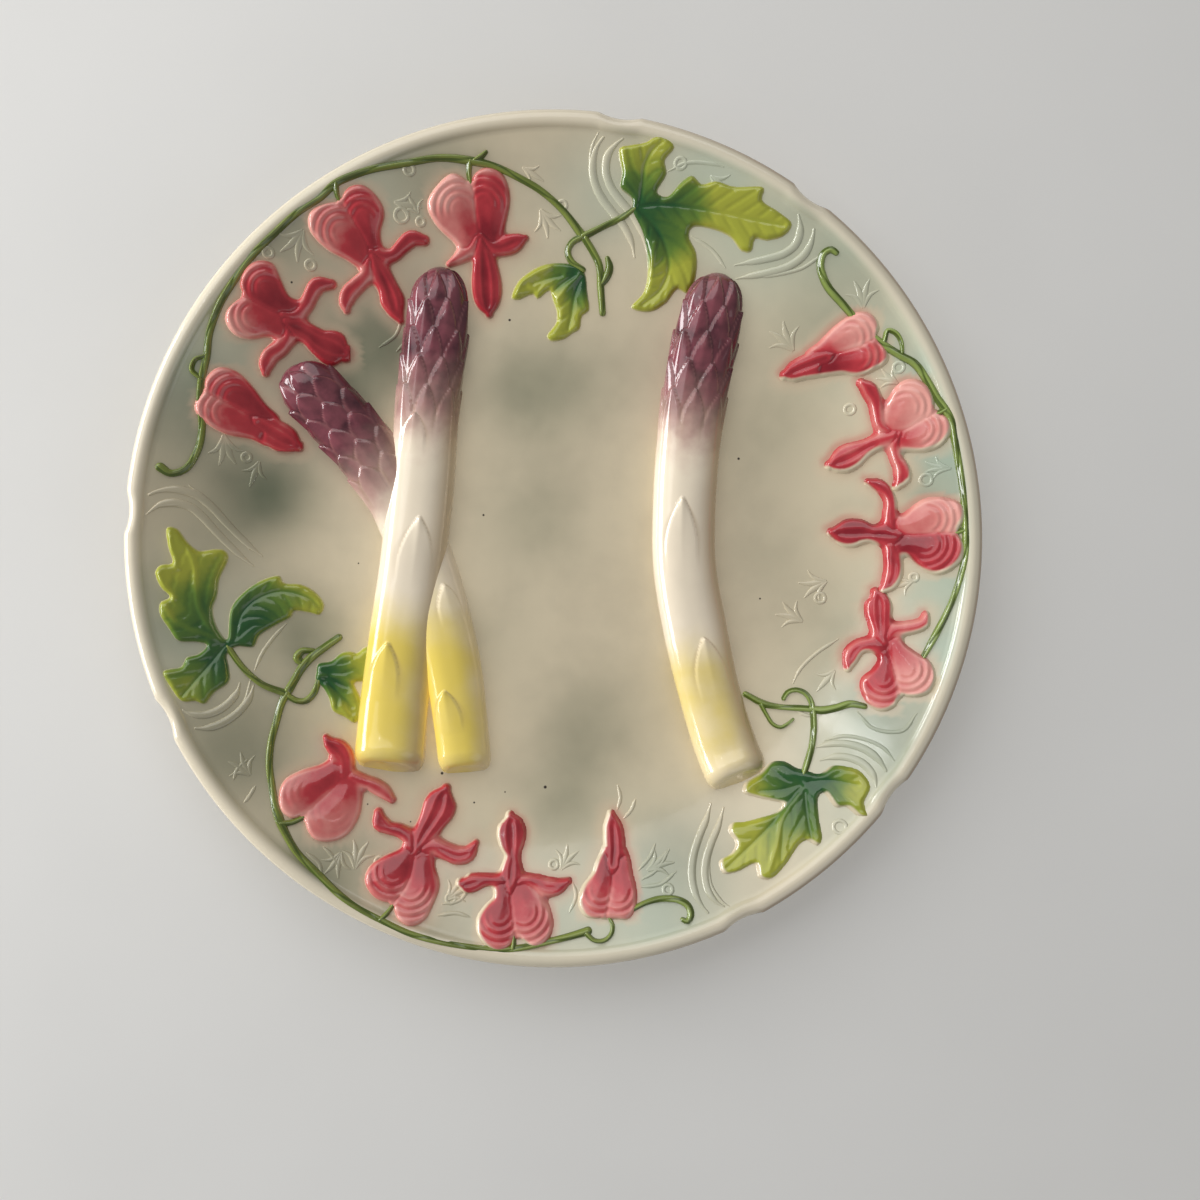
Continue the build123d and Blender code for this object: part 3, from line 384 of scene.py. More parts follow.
# Stems and twigs: each node is a main strip followed by the stalks and bracts that grow from it
STEMS = {
    "left_garland_stem": [
        [
            (-112.4, 20.4, 3.0), (-109.8, 18.8, 2.4), (-105.8, 20.2, 2.2), (-102.4, 26.0, 2.2),
            (-101.2, 32.6, 2.2), (-101.6, 39.0, 2.2), (-101.0, 45.5, 2.2), (-99.3, 52.5, 2.2),
            (-98.4, 58.6, 2.2), (-95.3, 66.8, 2.2), (-92.2, 72.0, 2.2), (-86.0, 80.5, 2.2),
            (-79.8, 86.8, 2.2), (-72.8, 93.1, 2.2), (-66.6, 97.2, 2.2), (-62.0, 101.2, 2.4),
            (-53.3, 104.9, 2.2), (-42.6, 107.2, 2.2), (-32.5, 109.0, 2.2), (-24.2, 108.5, 2.6),
            (-17.0, 107.1, 2.2), (-10.0, 104.2, 2.2), (-4.0, 101.0, 2.2), (2.4, 95.8, 2.2),
            (8.4, 88.6, 2.8),
        ],
        [(-24.0, 108.2, 2.0), (-24.3, 105.0, 1.8), (-23.9, 102.4, 1.6)],
        [(-62.0, 101.0, 2.0), (-61.7, 98.0, 1.6), (-61.0, 96.2, 1.4)],
        [(-101.0, 46.0, 1.6), (-103.4, 48.2, 1.6), (-102.4, 51.2, 1.4), (-99.6, 52.4, 1.2)],
        [(-22.6, 108.4, 1.6), (-20.6, 109.6, 1.8), (-19.2, 110.8, 1.2)],
    ],
    "right_garland_stem": [
        [
            (81.0, 81.7, 1.8), (79.6, 82.6, 2.2), (77.6, 81.8, 2.4), (76.7, 78.6, 2.5), (77.6, 75.2, 2.5),
            (79.2, 72.2, 2.5), (83.2, 67.6, 2.4), (87.0, 63.2, 2.2), (90.6, 59.4, 2.2), (94.4, 56.0, 2.4),
            (99.6, 52.4, 2.4), (103.4, 50.0, 2.5), (106.8, 45.2, 2.4), (109.8, 40.0, 2.4),
            (112.0, 36.6, 2.6), (113.6, 33.4, 2.4), (115.1, 25.0, 2.4), (116.6, 16.4, 2.2),
            (117.4, 9.0, 2.0), (117.7, 3.0, 2.2), (117.7, -4.0, 2.0), (116.6, -10.0, 2.0),
            (113.6, -19.0, 2.0), (109.0, -28.6, 2.2), (106.2, -33.8, 1.8),
        ],
        [(112.0, 37.0, 2.0), (110.4, 36.0, 1.8), (108.8, 35.5, 1.4)],
        [(117.0, 2.4, 2.0), (115.4, 1.8, 1.6), (114.0, 1.6, 1.4)],
        [(95.0, 56.6, 1.6), (95.8, 59.6, 1.6), (98.0, 58.8, 1.6), (99.6, 56.2, 1.4), (100.0, 53.2, 1.2)],
    ],
    "bottom_garland_stem": [
        [
            (-78.0, -44.8, 2.8), (-79.3, -47.6, 2.4), (-80.8, -54.0, 2.2), (-81.8, -59.0, 2.2),
            (-82.0, -65.0, 2.2), (-81.0, -71.0, 2.2), (-80.0, -76.0, 2.4), (-78.6, -80.2, 2.8),
            (-76.4, -84.8, 2.4), (-73.2, -89.8, 2.2), (-67.3, -95.6, 2.2), (-61.0, -101.6, 2.2),
            (-54.6, -105.8, 2.2), (-48.0, -109.2, 2.2), (-40.4, -112.6, 2.2), (-32.6, -114.8, 2.2),
            (-24.0, -116.4, 2.0), (-15.0, -117.3, 2.0), (-8.0, -116.7, 2.0), (-1.0, -115.2, 2.0),
            (5.0, -113.8, 2.2), (10.0, -112.4, 2.6),
        ],
        [(-78.0, -81.6, 2.0), (-75.0, -81.4, 1.8), (-71.6, -80.0, 1.6)],
        [(-49.0, -108.6, 1.8), (-47.0, -106.6, 1.6), (-45.6, -104.6, 1.4)],
        [(-11.3, -116.8, 2.0), (-11.2, -115.0, 1.6), (-11.1, -112.8, 1.4)],
    ],
    "top_leaf_twig": [[(8.6, 88.5, 2.4), (14.4, 91.2, 2.0), (20.0, 93.6, 2.0), (23.4, 95.8, 1.6)]],
    "top_stub_twig": [
        [(9.0, 87.9, 2.4), (11.4, 84.2, 2.4), (13.2, 80.4, 2.4), (13.6, 74.0, 2.4), (14.2, 66.8, 2.2)],
        [(13.7, 74.6, 1.6), (15.4, 77.2, 2.6), (16.2, 80.0, 2.6), (15.6, 82.4, 1.6)],
    ],
    "top_leaf_petiole": [[
        (8.0, 88.4, 2.2), (5.2, 86.8, 2.2), (4.0, 84.2, 2.2), (5.2, 81.4, 2.2), (8.4, 79.2, 2.0),
    ]],
    "left_stub_twig": [
        [
            (-77.4, -43.8, 2.8), (-75.6, -40.4, 2.6), (-73.6, -37.0, 2.8), (-71.0, -34.2, 2.8),
            (-67.6, -31.6, 2.6), (-63.4, -28.6, 2.4),
        ],
        [(-73.4, -36.4, 2.0), (-75.3, -34.6, 2.8), (-74.0, -32.6, 2.4), (-70.8, -32.4, 1.6)],
    ],
    "left_leaf_petiole": [[
        (-94.4, -31.2, 2.0), (-90.0, -37.4, 1.9), (-84.8, -42.1, 2.0), (-78.6, -44.7, 2.4),
    ]],
    "small_leaf_petiole": [[
        (-77.6, -45.6, 2.0), (-75.0, -47.0, 2.0), (-72.6, -47.0, 2.2), (-70.4, -44.9, 2.2),
        (-69.0, -41.0, 1.8),
    ]],
    "bottom_leaf_crook": [[
        (72.0, -69.0, 1.8), (73.4, -65.0, 2.2), (74.9, -60.0, 2.1), (75.6, -55.0, 2.1),
        (75.5, -50.5, 2.1), (74.9, -47.0, 1.9), (73.2, -44.7, 1.8), (70.6, -43.9, 1.7),
        (68.3, -44.7, 1.7), (67.2, -46.4, 1.6),
    ]],
    "cross_twig_inner": [[
        (56.2, -45.3, 2.0), (61.5, -48.0, 2.3), (66.0, -48.9, 1.9), (72.0, -49.2, 2.1),
        (75.0, -49.4, 2.2),
    ]],
    "cross_twig_outer": [[
        (75.0, -49.4, 2.4), (78.0, -49.7, 2.7), (82.0, -48.9, 2.4), (86.0, -47.7, 2.4),
        (89.8, -48.3, 2.0),
    ]],
    "cross_twig_curl": [[
        (60.6, -48.2, 1.6), (62.2, -51.2, 1.4), (64.0, -53.9, 1.4), (66.2, -54.8, 1.3),
        (68.3, -53.7, 1.1), (69.8, -52.4, 0.9),
    ]],
    "bottom_bud_tendril": [[
        (23.0, -106.4, 1.6), (26.4, -104.7, 1.7), (31.0, -103.5, 2.0), (35.8, -103.7, 2.1),
        (38.6, -105.2, 2.3), (39.4, -107.6, 2.3), (38.4, -109.4, 1.9), (37.0, -109.0, 1.5),
    ]],
    "bottom_bud_calyx": [[
        (9.4, -113.0, 1.8), (11.8, -114.9, 1.4), (14.6, -114.9, 1.4), (16.6, -113.2, 1.5),
        (17.0, -110.8, 1.5), (15.8, -108.6, 1.2),
    ]],
}

# Leaf outlines
LEAVES = {
    "top_leaf_large": [
        (22.7, 95.2), (22.6, 98.4), (19.2, 101.6), (19.7, 105.0), (19.0, 111.8), (22.4, 112.6),
        (26.5, 113.2), (29.8, 114.7), (33.6, 113.3), (34.6, 111.6), (32.0, 108.4), (32.5, 104.8),
        (29.9, 100.0), (32.6, 98.8), (37.0, 102.8), (39.8, 104.2), (42.6, 101.8), (46.5, 102.5),
        (51.4, 100.9), (60.3, 100.0), (59.8, 97.0), (64.5, 93.6), (68.4, 90.0), (66.5, 87.2),
        (61.5, 86.0), (58.2, 86.6), (57.2, 83.2), (54.6, 83.4), (51.2, 87.3), (46.0, 89.7), (40.2, 90.4),
        (39.2, 88.2), (41.4, 83.4), (41.5, 77.6), (40.4, 74.0), (38.6, 72.2), (36.3, 73.5), (32.6, 69.4),
        (28.0, 67.1), (22.6, 68.4), (26.0, 72.4), (27.2, 76.5), (27.1, 83.0), (25.6, 89.4),
    ],
    "top_leaf_small": [
        (8.9, 78.2), (7.0, 80.2), (3.0, 81.1), (-2.6, 80.8), (-7.0, 78.8), (-10.8, 75.6), (-12.5, 71.0),
        (-10.6, 70.6), (-8.0, 71.7), (-6.2, 72.2), (-5.0, 70.9), (-1.4, 73.3), (-0.5, 70.6), (0.7, 67.0),
        (0.5, 64.0), (-2.2, 60.0), (-1.2, 58.7), (3.0, 59.2), (5.3, 60.9), (7.3, 62.0), (8.2, 66.0),
        (10.1, 67.4), (9.7, 72.5),
    ],
    "left_leaf_large": [
        (-94.8, -29.0), (-97.4, -25.5), (-98.7, -20.0), (-97.6, -16.6), (-97.0, -11.5), (-94.6, -5.0),
        (-95.8, -3.1), (-98.6, -2.9), (-102.4, -3.4), (-105.4, -1.0), (-108.4, 3.0), (-110.8, 3.3),
        (-110.6, -2.2), (-109.5, -7.0), (-112.4, -7.5), (-113.9, -9.4), (-112.4, -14.0), (-110.0, -16.8),
        (-112.4, -18.2), (-112.6, -21.4), (-110.0, -26.0), (-107.6, -29.3), (-103.0, -29.7),
        (-100.0, -30.6), (-102.0, -33.0), (-105.4, -34.2), (-106.4, -36.6), (-111.3, -38.0),
        (-109.2, -42.6), (-106.0, -46.6), (-102.5, -46.6), (-100.2, -47.5), (-97.5, -44.2),
        (-93.8, -41.2), (-94.0, -37.0), (-94.6, -33.4), (-92.2, -31.2), (-87.4, -31.2), (-86.0, -28.2),
        (-81.0, -24.8), (-77.0, -22.4), (-76.4, -20.9), (-72.0, -21.3), (-69.0, -21.9), (-67.7, -19.0),
        (-70.4, -15.2), (-74.6, -13.0), (-79.4, -12.5), (-80.4, -10.6), (-85.0, -11.6), (-90.6, -15.5),
        (-93.8, -20.0),
    ],
    "left_leaf_small": [
        (-69.8, -38.6), (-69.4, -36.3), (-65.4, -35.4), (-62.8, -33.2), (-59.9, -32.7), (-58.2, -33.2),
        (-55.4, -31.3), (-52.0, -32.0), (-51.5, -38.0), (-55.6, -41.3), (-58.8, -42.0), (-57.2, -46.0),
        (-56.5, -50.0), (-58.4, -53.7), (-61.4, -52.0), (-64.9, -50.0), (-66.0, -46.6), (-67.8, -43.4),
        (-70.0, -41.0),
    ],
    "bottom_leaf": [
        (73.0, -67.0), (70.2, -66.3), (67.2, -64.7), (63.2, -65.0), (59.4, -68.6), (55.4, -71.4),
        (55.0, -73.6), (58.4, -74.8), (63.0, -75.7), (66.2, -76.5), (64.4, -79.0), (60.0, -80.6),
        (55.0, -82.0), (51.4, -82.5), (50.6, -84.4), (52.6, -88.0), (51.0, -91.0), (47.8, -93.0),
        (48.8, -96.2), (53.0, -95.6), (57.9, -93.4), (58.8, -97.0), (62.0, -97.4), (66.4, -93.4),
        (70.6, -87.6), (72.6, -86.4), (75.6, -87.8), (76.8, -86.2), (76.2, -80.0), (76.2, -74.6),
        (77.6, -73.0), (81.0, -77.0), (83.8, -76.8), (87.2, -79.4), (89.9, -79.2), (88.8, -75.6),
        (90.7, -71.0), (88.0, -66.8), (83.5, -65.5), (80.2, -65.6), (76.8, -67.9),
    ],
}

# Lobes of the flowers and buds, as outlines
FLOWER_LOBES = {
    "left_garland_flower_1": [
        [
            (-23.3, 100.2), (-26.2, 103.8), (-29.0, 104.7), (-33.2, 101.6), (-36.2, 96.6), (-34.0, 91.5),
            (-29.3, 87.2), (-25.0, 84.2), (-22.3, 88.4), (-22.8, 94.5),
        ],
        [
            (-23.0, 100.3), (-22.4, 104.6), (-19.2, 106.5), (-15.0, 105.0), (-12.9, 99.5), (-14.0, 93.0),
            (-15.6, 88.7), (-17.6, 86.4), (-20.9, 88.8), (-22.4, 95.5),
        ],
    ],
    "left_garland_flower_2": [
        [
            (-60.3, 96.0), (-58.8, 99.6), (-55.0, 100.9), (-51.3, 98.6), (-49.0, 94.2), (-50.3, 89.0),
            (-50.7, 84.6), (-52.0, 82.8), (-55.0, 87.5), (-58.6, 93.4),
        ],
        [
            (-60.7, 95.7), (-65.5, 95.2), (-69.3, 92.8), (-69.6, 88.8), (-65.5, 84.0), (-60.5, 81.4),
            (-56.0, 79.5), (-53.6, 80.8), (-54.2, 85.3), (-57.8, 91.8),
        ],
    ],
    "left_garland_flower_3": [
        [
            (-87.4, 69.0), (-89.2, 72.0), (-88.0, 76.2), (-84.6, 79.0), (-80.6, 78.6), (-78.6, 74.4),
            (-76.5, 69.9), (-73.4, 67.6), (-76.0, 65.0), (-80.5, 65.7), (-84.5, 67.5),
        ],
        [
            (-87.8, 68.6), (-92.0, 66.6), (-93.7, 63.0), (-91.6, 59.0), (-87.5, 57.9), (-82.5, 59.0),
            (-78.5, 58.6), (-76.7, 60.6), (-79.0, 64.0), (-83.0, 66.4),
        ],
    ],
    "left_garland_bud": [
        [
            (-99.2, 41.9), (-99.7, 45.4), (-96.5, 48.9), (-92.0, 48.3), (-87.8, 44.4), (-84.0, 39.0),
            (-81.5, 35.8), (-84.5, 34.2), (-89.5, 37.0), (-94.8, 39.8),
        ],
        [
            (-99.4, 41.6), (-102.4, 39.4), (-102.6, 36.8), (-99.6, 33.4), (-94.5, 30.6), (-88.0, 29.7),
            (-83.6, 29.0), (-82.0, 31.6), (-84.8, 33.8), (-89.5, 36.6), (-95.0, 39.4),
        ],
    ],
    "right_garland_bud": [
        [
            (91.4, 57.2), (93.2, 60.2), (91.6, 63.6), (88.0, 64.9), (83.8, 63.0), (80.2, 60.2),
            (77.0, 56.6), (75.0, 54.4), (79.0, 53.4), (84.5, 54.8), (88.6, 56.0),
        ],
        [
            (91.6, 57.0), (95.4, 54.0), (96.0, 51.2), (92.6, 48.8), (88.4, 47.4), (84.4, 48.2),
            (80.0, 48.2), (76.6, 48.8), (75.6, 51.6), (79.5, 52.9), (84.8, 54.2), (88.8, 55.4),
        ],
    ],
    "right_garland_flower_1": [
        [
            (108.5, 35.7), (108.6, 39.2), (106.6, 43.6), (102.8, 45.5), (99.4, 44.2), (96.9, 39.8),
            (95.6, 34.8), (97.0, 31.4), (101.0, 31.9), (105.5, 34.0),
        ],
        [
            (108.8, 35.4), (112.2, 34.4), (113.5, 30.6), (111.4, 27.0), (107.6, 25.2), (103.2, 25.4),
            (99.8, 26.6), (99.4, 29.4), (102.6, 31.8), (106.0, 34.0),
        ],
    ],
    "right_garland_flower_2": [
        [
            (114.0, 1.9), (117.0, 5.0), (116.6, 9.4), (112.6, 11.3), (107.5, 11.4), (104.0, 9.4),
            (100.8, 6.4), (98.4, 5.4), (98.9, 2.6), (103.0, 1.3), (108.5, 1.7),
        ],
        [
            (114.2, 1.4), (117.0, -1.8), (116.6, -6.0), (113.5, -9.2), (109.8, -10.1), (106.0, -8.2),
            (103.0, -4.8), (99.6, -4.0), (98.6, -1.6), (100.4, 0.5), (107.0, 1.2),
        ],
    ],
    "right_garland_flower_3": [
        [
            (99.2, -43.9), (102.8, -45.2), (107.0, -44.2), (109.0, -40.6), (108.0, -35.8), (104.2, -33.0),
            (101.0, -30.6), (99.2, -28.6), (96.9, -29.2), (96.3, -31.6), (97.6, -35.6), (98.8, -40.0),
        ],
        [
            (98.8, -44.1), (98.4, -47.6), (95.0, -49.4), (91.6, -48.0), (89.4, -44.4), (89.4, -40.8),
            (92.2, -38.0), (94.4, -35.0), (95.3, -31.8), (96.4, -33.0), (97.8, -37.5), (98.6, -41.5),
        ],
    ],
    "bottom_garland_flower_1": [
        [
            (-71.0, -78.4), (-74.5, -80.1), (-77.6, -78.2), (-78.7, -74.0), (-77.4, -69.8),
            (-73.5, -67.4), (-68.0, -65.8), (-63.5, -64.5), (-60.5, -67.8), (-63.5, -71.4),
            (-67.8, -75.4),
        ],
        [
            (-70.8, -78.8), (-70.8, -82.4), (-68.4, -86.0), (-64.0, -86.8), (-59.6, -85.0),
            (-56.6, -80.0), (-56.2, -74.4), (-57.6, -70.4), (-60.6, -69.2), (-64.6, -72.8),
            (-68.6, -76.8),
        ],
    ],
    "bottom_garland_flower_2": [
        [
            (-45.4, -103.7), (-48.5, -103.6), (-51.6, -101.8), (-53.8, -97.8), (-52.4, -94.2),
            (-48.5, -91.6), (-44.5, -90.2), (-41.6, -89.8), (-40.6, -92.6), (-41.2, -96.6),
            (-43.2, -100.6),
        ],
        [
            (-45.2, -104.2), (-44.4, -108.0), (-41.0, -110.4), (-37.0, -109.0), (-34.6, -104.6),
            (-33.1, -99.8), (-34.6, -95.0), (-35.8, -91.4), (-38.4, -90.4), (-40.0, -92.8),
            (-40.8, -97.0), (-42.8, -101.0),
        ],
    ],
    "bottom_garland_flower_3": [
        [
            (-11.3, -112.2), (-12.4, -116.0), (-15.4, -117.4), (-18.8, -116.0), (-21.4, -112.8),
            (-21.6, -108.8), (-19.4, -105.6), (-17.0, -103.4), (-16.4, -100.4), (-14.6, -99.2),
            (-13.0, -101.6), (-12.0, -106.4),
        ],
        [
            (-10.9, -112.0), (-8.4, -114.8), (-4.8, -116.4), (-1.6, -114.6), (-0.3, -110.6),
            (-1.6, -106.0), (-5.0, -102.2), (-8.0, -99.5), (-10.4, -99.8), (-11.8, -102.0),
            (-11.6, -107.0),
        ],
    ],
    "bottom_garland_bud": [
        [
            (15.2, -107.8), (12.6, -108.8), (9.0, -108.0), (7.4, -104.6), (8.6, -100.4), (11.2, -97.2),
            (13.0, -93.4), (15.2, -91.0), (16.8, -94.5), (16.6, -100.0), (15.8, -104.4),
        ],
        [
            (15.4, -107.9), (18.2, -108.8), (21.4, -108.8), (23.4, -105.8), (23.6, -101.0), (22.4, -96.6),
            (20.9, -92.0), (18.6, -91.2), (17.2, -95.0), (17.0, -100.0), (16.0, -104.6),
        ],
    ],
}

# Arms of the flowers and buds and the drop in their middle, as strips
FLOWER_STRIPS = {
    "left_garland_flower_1": [
        [(-22.8, 87.5, 2.2), (-24.6, 84.6, 2.8), (-27.4, 82.5, 3.0), (-30.6, 80.6, 1.4)],
        [
            (-20.8, 88.4, 1.8), (-18.9, 86.0, 2.8), (-15.7, 85.2, 4.0), (-12.4, 86.2, 5.0),
            (-9.8, 87.4, 3.6), (-8.3, 88.0, 1.4),
        ],
        [
            (-21.0, 87.0, 2.2), (-20.5, 83.0, 4.8), (-20.1, 79.0, 7.2), (-19.8, 74.5, 8.3),
            (-19.6, 70.5, 7.4), (-19.3, 68.0, 5.0), (-19.1, 66.5, 2.0),
        ],
    ],
    "left_garland_flower_2": [
        [
            (-52.3, 83.4, 2.2), (-49.8, 82.2, 2.8), (-46.6, 82.6, 3.2), (-44.0, 85.0, 3.8),
            (-41.2, 87.2, 4.2), (-37.6, 86.9, 2.6),
        ],
        [
            (-53.6, 80.6, 2.4), (-54.3, 77.0, 3.4), (-57.2, 73.9, 4.2), (-59.6, 71.4, 4.4),
            (-60.6, 68.5, 3.4), (-60.4, 66.8, 1.6),
        ],
        [
            (-52.0, 81.5, 3.0), (-50.0, 77.0, 4.8), (-48.2, 73.0, 5.6), (-47.2, 69.8, 6.6),
            (-46.2, 66.6, 4.2), (-45.0, 64.2, 1.4),
        ],
    ],
    "left_garland_flower_3": [
        [
            (-78.0, 65.2, 1.8), (-74.4, 65.0, 2.6), (-71.6, 67.6, 3.2), (-70.0, 71.0, 3.8),
            (-68.2, 73.4, 4.2), (-64.4, 73.9, 2.4),
        ],
        [
            (-77.4, 62.0, 1.8), (-76.8, 58.6, 2.8), (-79.0, 55.5, 3.8), (-82.0, 53.3, 4.3),
            (-83.4, 50.4, 3.6), (-83.6, 48.3, 1.8),
        ],
        [
            (-77.6, 62.4, 2.2), (-74.4, 61.2, 4.8), (-71.0, 59.5, 5.6), (-68.2, 57.5, 7.6),
            (-65.4, 56.2, 9.8), (-62.9, 55.2, 9.0), (-61.3, 54.6, 5.0),
        ],
    ],
    "left_garland_bud": [
        [
            (-85.5, 33.6, 6.0), (-82.2, 31.4, 7.6), (-79.2, 29.6, 7.8), (-76.9, 28.3, 6.4),
            (-75.1, 27.4, 3.0),
        ],
    ],
    "right_garland_bud": [
        [(78.8, 52.2, 6.0), (75.4, 51.0, 6.6), (72.0, 49.8, 6.2), (69.4, 48.8, 5.0), (67.5, 48.2, 2.4)],
    ],
    "right_garland_flower_1": [
        [
            (96.4, 31.2, 1.8), (94.2, 33.0, 2.4), (93.4, 36.2, 2.8), (92.9, 39.6, 3.4), (91.3, 43.0, 4.2),
            (89.0, 45.2, 2.0),
        ],
        [
            (99.4, 29.8, 1.8), (98.3, 26.6, 2.4), (98.9, 23.4, 2.8), (100.4, 20.6, 3.8),
            (100.8, 17.6, 4.4), (99.4, 15.4, 2.2),
        ],
        [
            (98.0, 29.6, 2.8), (94.2, 28.2, 4.0), (90.6, 26.4, 5.0), (87.2, 24.5, 7.4), (84.3, 23.1, 7.4),
            (82.2, 22.3, 5.2), (80.7, 21.9, 2.4),
        ],
    ],
    "right_garland_flower_2": [
        [
            (97.8, 3.4, 2.6), (97.4, 7.0, 3.2), (97.6, 10.4, 3.0), (96.6, 13.3, 3.0), (94.4, 15.6, 3.2),
            (91.4, 16.8, 1.4),
        ],
        [
            (97.4, -2.0, 2.2), (97.7, -4.8, 3.4), (98.4, -7.8, 4.6), (98.2, -10.6, 4.8),
            (97.0, -13.2, 4.0), (95.4, -14.7, 2.0),
        ],
        [
            (98.8, 0.8, 4.0), (95.6, 1.4, 5.4), (92.4, 1.6, 4.8), (89.4, 2.0, 7.2), (86.4, 1.9, 8.0),
            (83.6, 2.0, 6.0), (81.3, 2.3, 2.0),
        ],
    ],
    "right_garland_flower_3": [
        [
            (95.2, -31.0, 2.4), (91.8, -30.5, 3.4), (88.8, -31.2, 4.0), (86.8, -33.2, 4.4),
            (86.0, -35.4, 3.8), (85.6, -37.4, 1.8),
        ],
        [
            (96.2, -28.6, 2.2), (98.0, -26.5, 3.0), (101.0, -25.8, 3.4), (104.0, -25.3, 3.4),
            (106.3, -24.2, 3.2), (107.0, -21.8, 1.6),
        ],
        [
            (95.2, -30.4, 3.0), (94.7, -27.4, 4.2), (94.4, -24.6, 5.4), (94.2, -21.4, 7.0),
            (94.2, -18.8, 7.0), (94.0, -16.8, 5.0), (93.4, -15.2, 2.0),
        ],
    ],
    "bottom_garland_flower_1": [
        [
            (-61.5, -68.0, 3.6), (-60.6, -65.4, 4.0), (-61.4, -62.8, 5.0), (-63.4, -60.8, 5.2),
            (-65.4, -59.2, 3.4), (-66.6, -57.6, 1.4),
        ],
        [
            (-58.6, -69.2, 2.8), (-55.4, -70.4, 3.2), (-52.4, -71.7, 3.8), (-49.6, -73.5, 3.6),
            (-47.2, -75.8, 1.8),
        ],
    ],
    "bottom_garland_flower_2": [
        [
            (-41.0, -89.0, 2.6), (-42.2, -86.3, 3.2), (-44.8, -84.5, 3.4), (-47.8, -83.7, 3.2),
            (-50.2, -82.2, 4.2), (-51.0, -79.3, 2.2),
        ],
        [
            (-37.6, -89.4, 2.4), (-34.6, -88.9, 3.6), (-31.0, -90.5, 4.4), (-27.8, -91.7, 4.8),
            (-25.0, -91.2, 4.4), (-22.7, -88.3, 1.4),
        ],
        [
            (-39.4, -89.0, 3.6), (-37.6, -85.4, 5.6), (-35.4, -81.8, 7.6), (-33.6, -78.4, 9.2),
            (-32.8, -75.6, 7.8), (-31.7, -72.8, 2.4),
        ],
    ],
    "bottom_garland_flower_3": [
        [
            (-13.8, -98.7, 2.0), (-17.0, -98.4, 2.2), (-20.2, -98.5, 3.2), (-22.8, -99.1, 4.6),
            (-25.2, -99.6, 4.6), (-27.0, -99.2, 2.0),
        ],
        [
            (-10.2, -99.2, 1.8), (-7.6, -98.5, 2.2), (-4.8, -99.0, 3.2), (-2.0, -100.4, 4.6),
            (0.8, -100.5, 4.2), (4.2, -99.0, 1.6),
        ],
        [
            (-12.4, -101.4, 1.8), (-12.3, -98.0, 5.0), (-12.2, -94.8, 5.2), (-12.0, -92.0, 4.2),
            (-12.3, -88.8, 6.8), (-12.5, -85.0, 8.0), (-12.6, -82.4, 6.0), (-13.0, -80.6, 2.0),
        ],
    ],
    "bottom_garland_bud": [
        [
            (17.4, -94.0, 6.2), (17.6, -90.0, 5.8), (17.4, -86.0, 5.6), (17.0, -83.0, 4.6),
            (16.6, -80.2, 1.8),
        ],
    ],
}

# How pale the glaze lies on each lobe and on each strip, from 0 for crimson to 1 for pale pink. The left
# garland's second and third flowers and its bud are set about 0.1 darker as painted shade of the left rim.
FLOWER_TONES = {
    "left_garland_flower_1": ((0.66, 0.22), (0.6, 0.25, 0.2)),
    # Painted shade: these three are set about 0.1 darker than their glaze
    "left_garland_flower_2": ((0.30, 0.5), (0.25, 0.45, 0.25)),
    "left_garland_flower_3": ((0.26, 0.46), (0.4, 0.45, 0.2)),
    "left_garland_bud": ((0.24, 0.42), (0.25,)),
    "right_garland_bud": ((0.70, 0.25), (0.3,)),
    "right_garland_flower_1": ((0.76, 0.6), (0.4, 0.4, 0.4)),
    "right_garland_flower_2": ((0.76, 0.16), (0.3, 0.3, 0.12)),
    "right_garland_flower_3": ((0.64, 0.3), (0.25, 0.55, 0.35)),
    "bottom_garland_flower_1": ((0.42, 0.46), (0.32, 0.45)),
    "bottom_garland_flower_2": ((0.28, 0.4), (0.28, 0.35, 0.28)),
    "bottom_garland_flower_3": ((0.3, 0.44), (0.26, 0.36, 0.22)),
    "bottom_garland_bud": ((0.34, 0.44), (0.26,)),
}

# How far the hand-laid glaze is off its relief
PAINT_SHIFTS = {
    "right_garland_bud": (-0.9, 0.9),
    "right_garland_flower_1": (-1.1, 1.2),
    "right_garland_flower_2": (-1.1, 1.2),
    "right_garland_flower_3": (-0.9, 1.0),
    "bottom_garland_flower_3": (1.0, 0.2),
    "bottom_garland_bud": (1.1, 0.3),
    "bottom_leaf": (1.0, 0.5),
    "left_stub_twig": (0.5, -0.8),
}

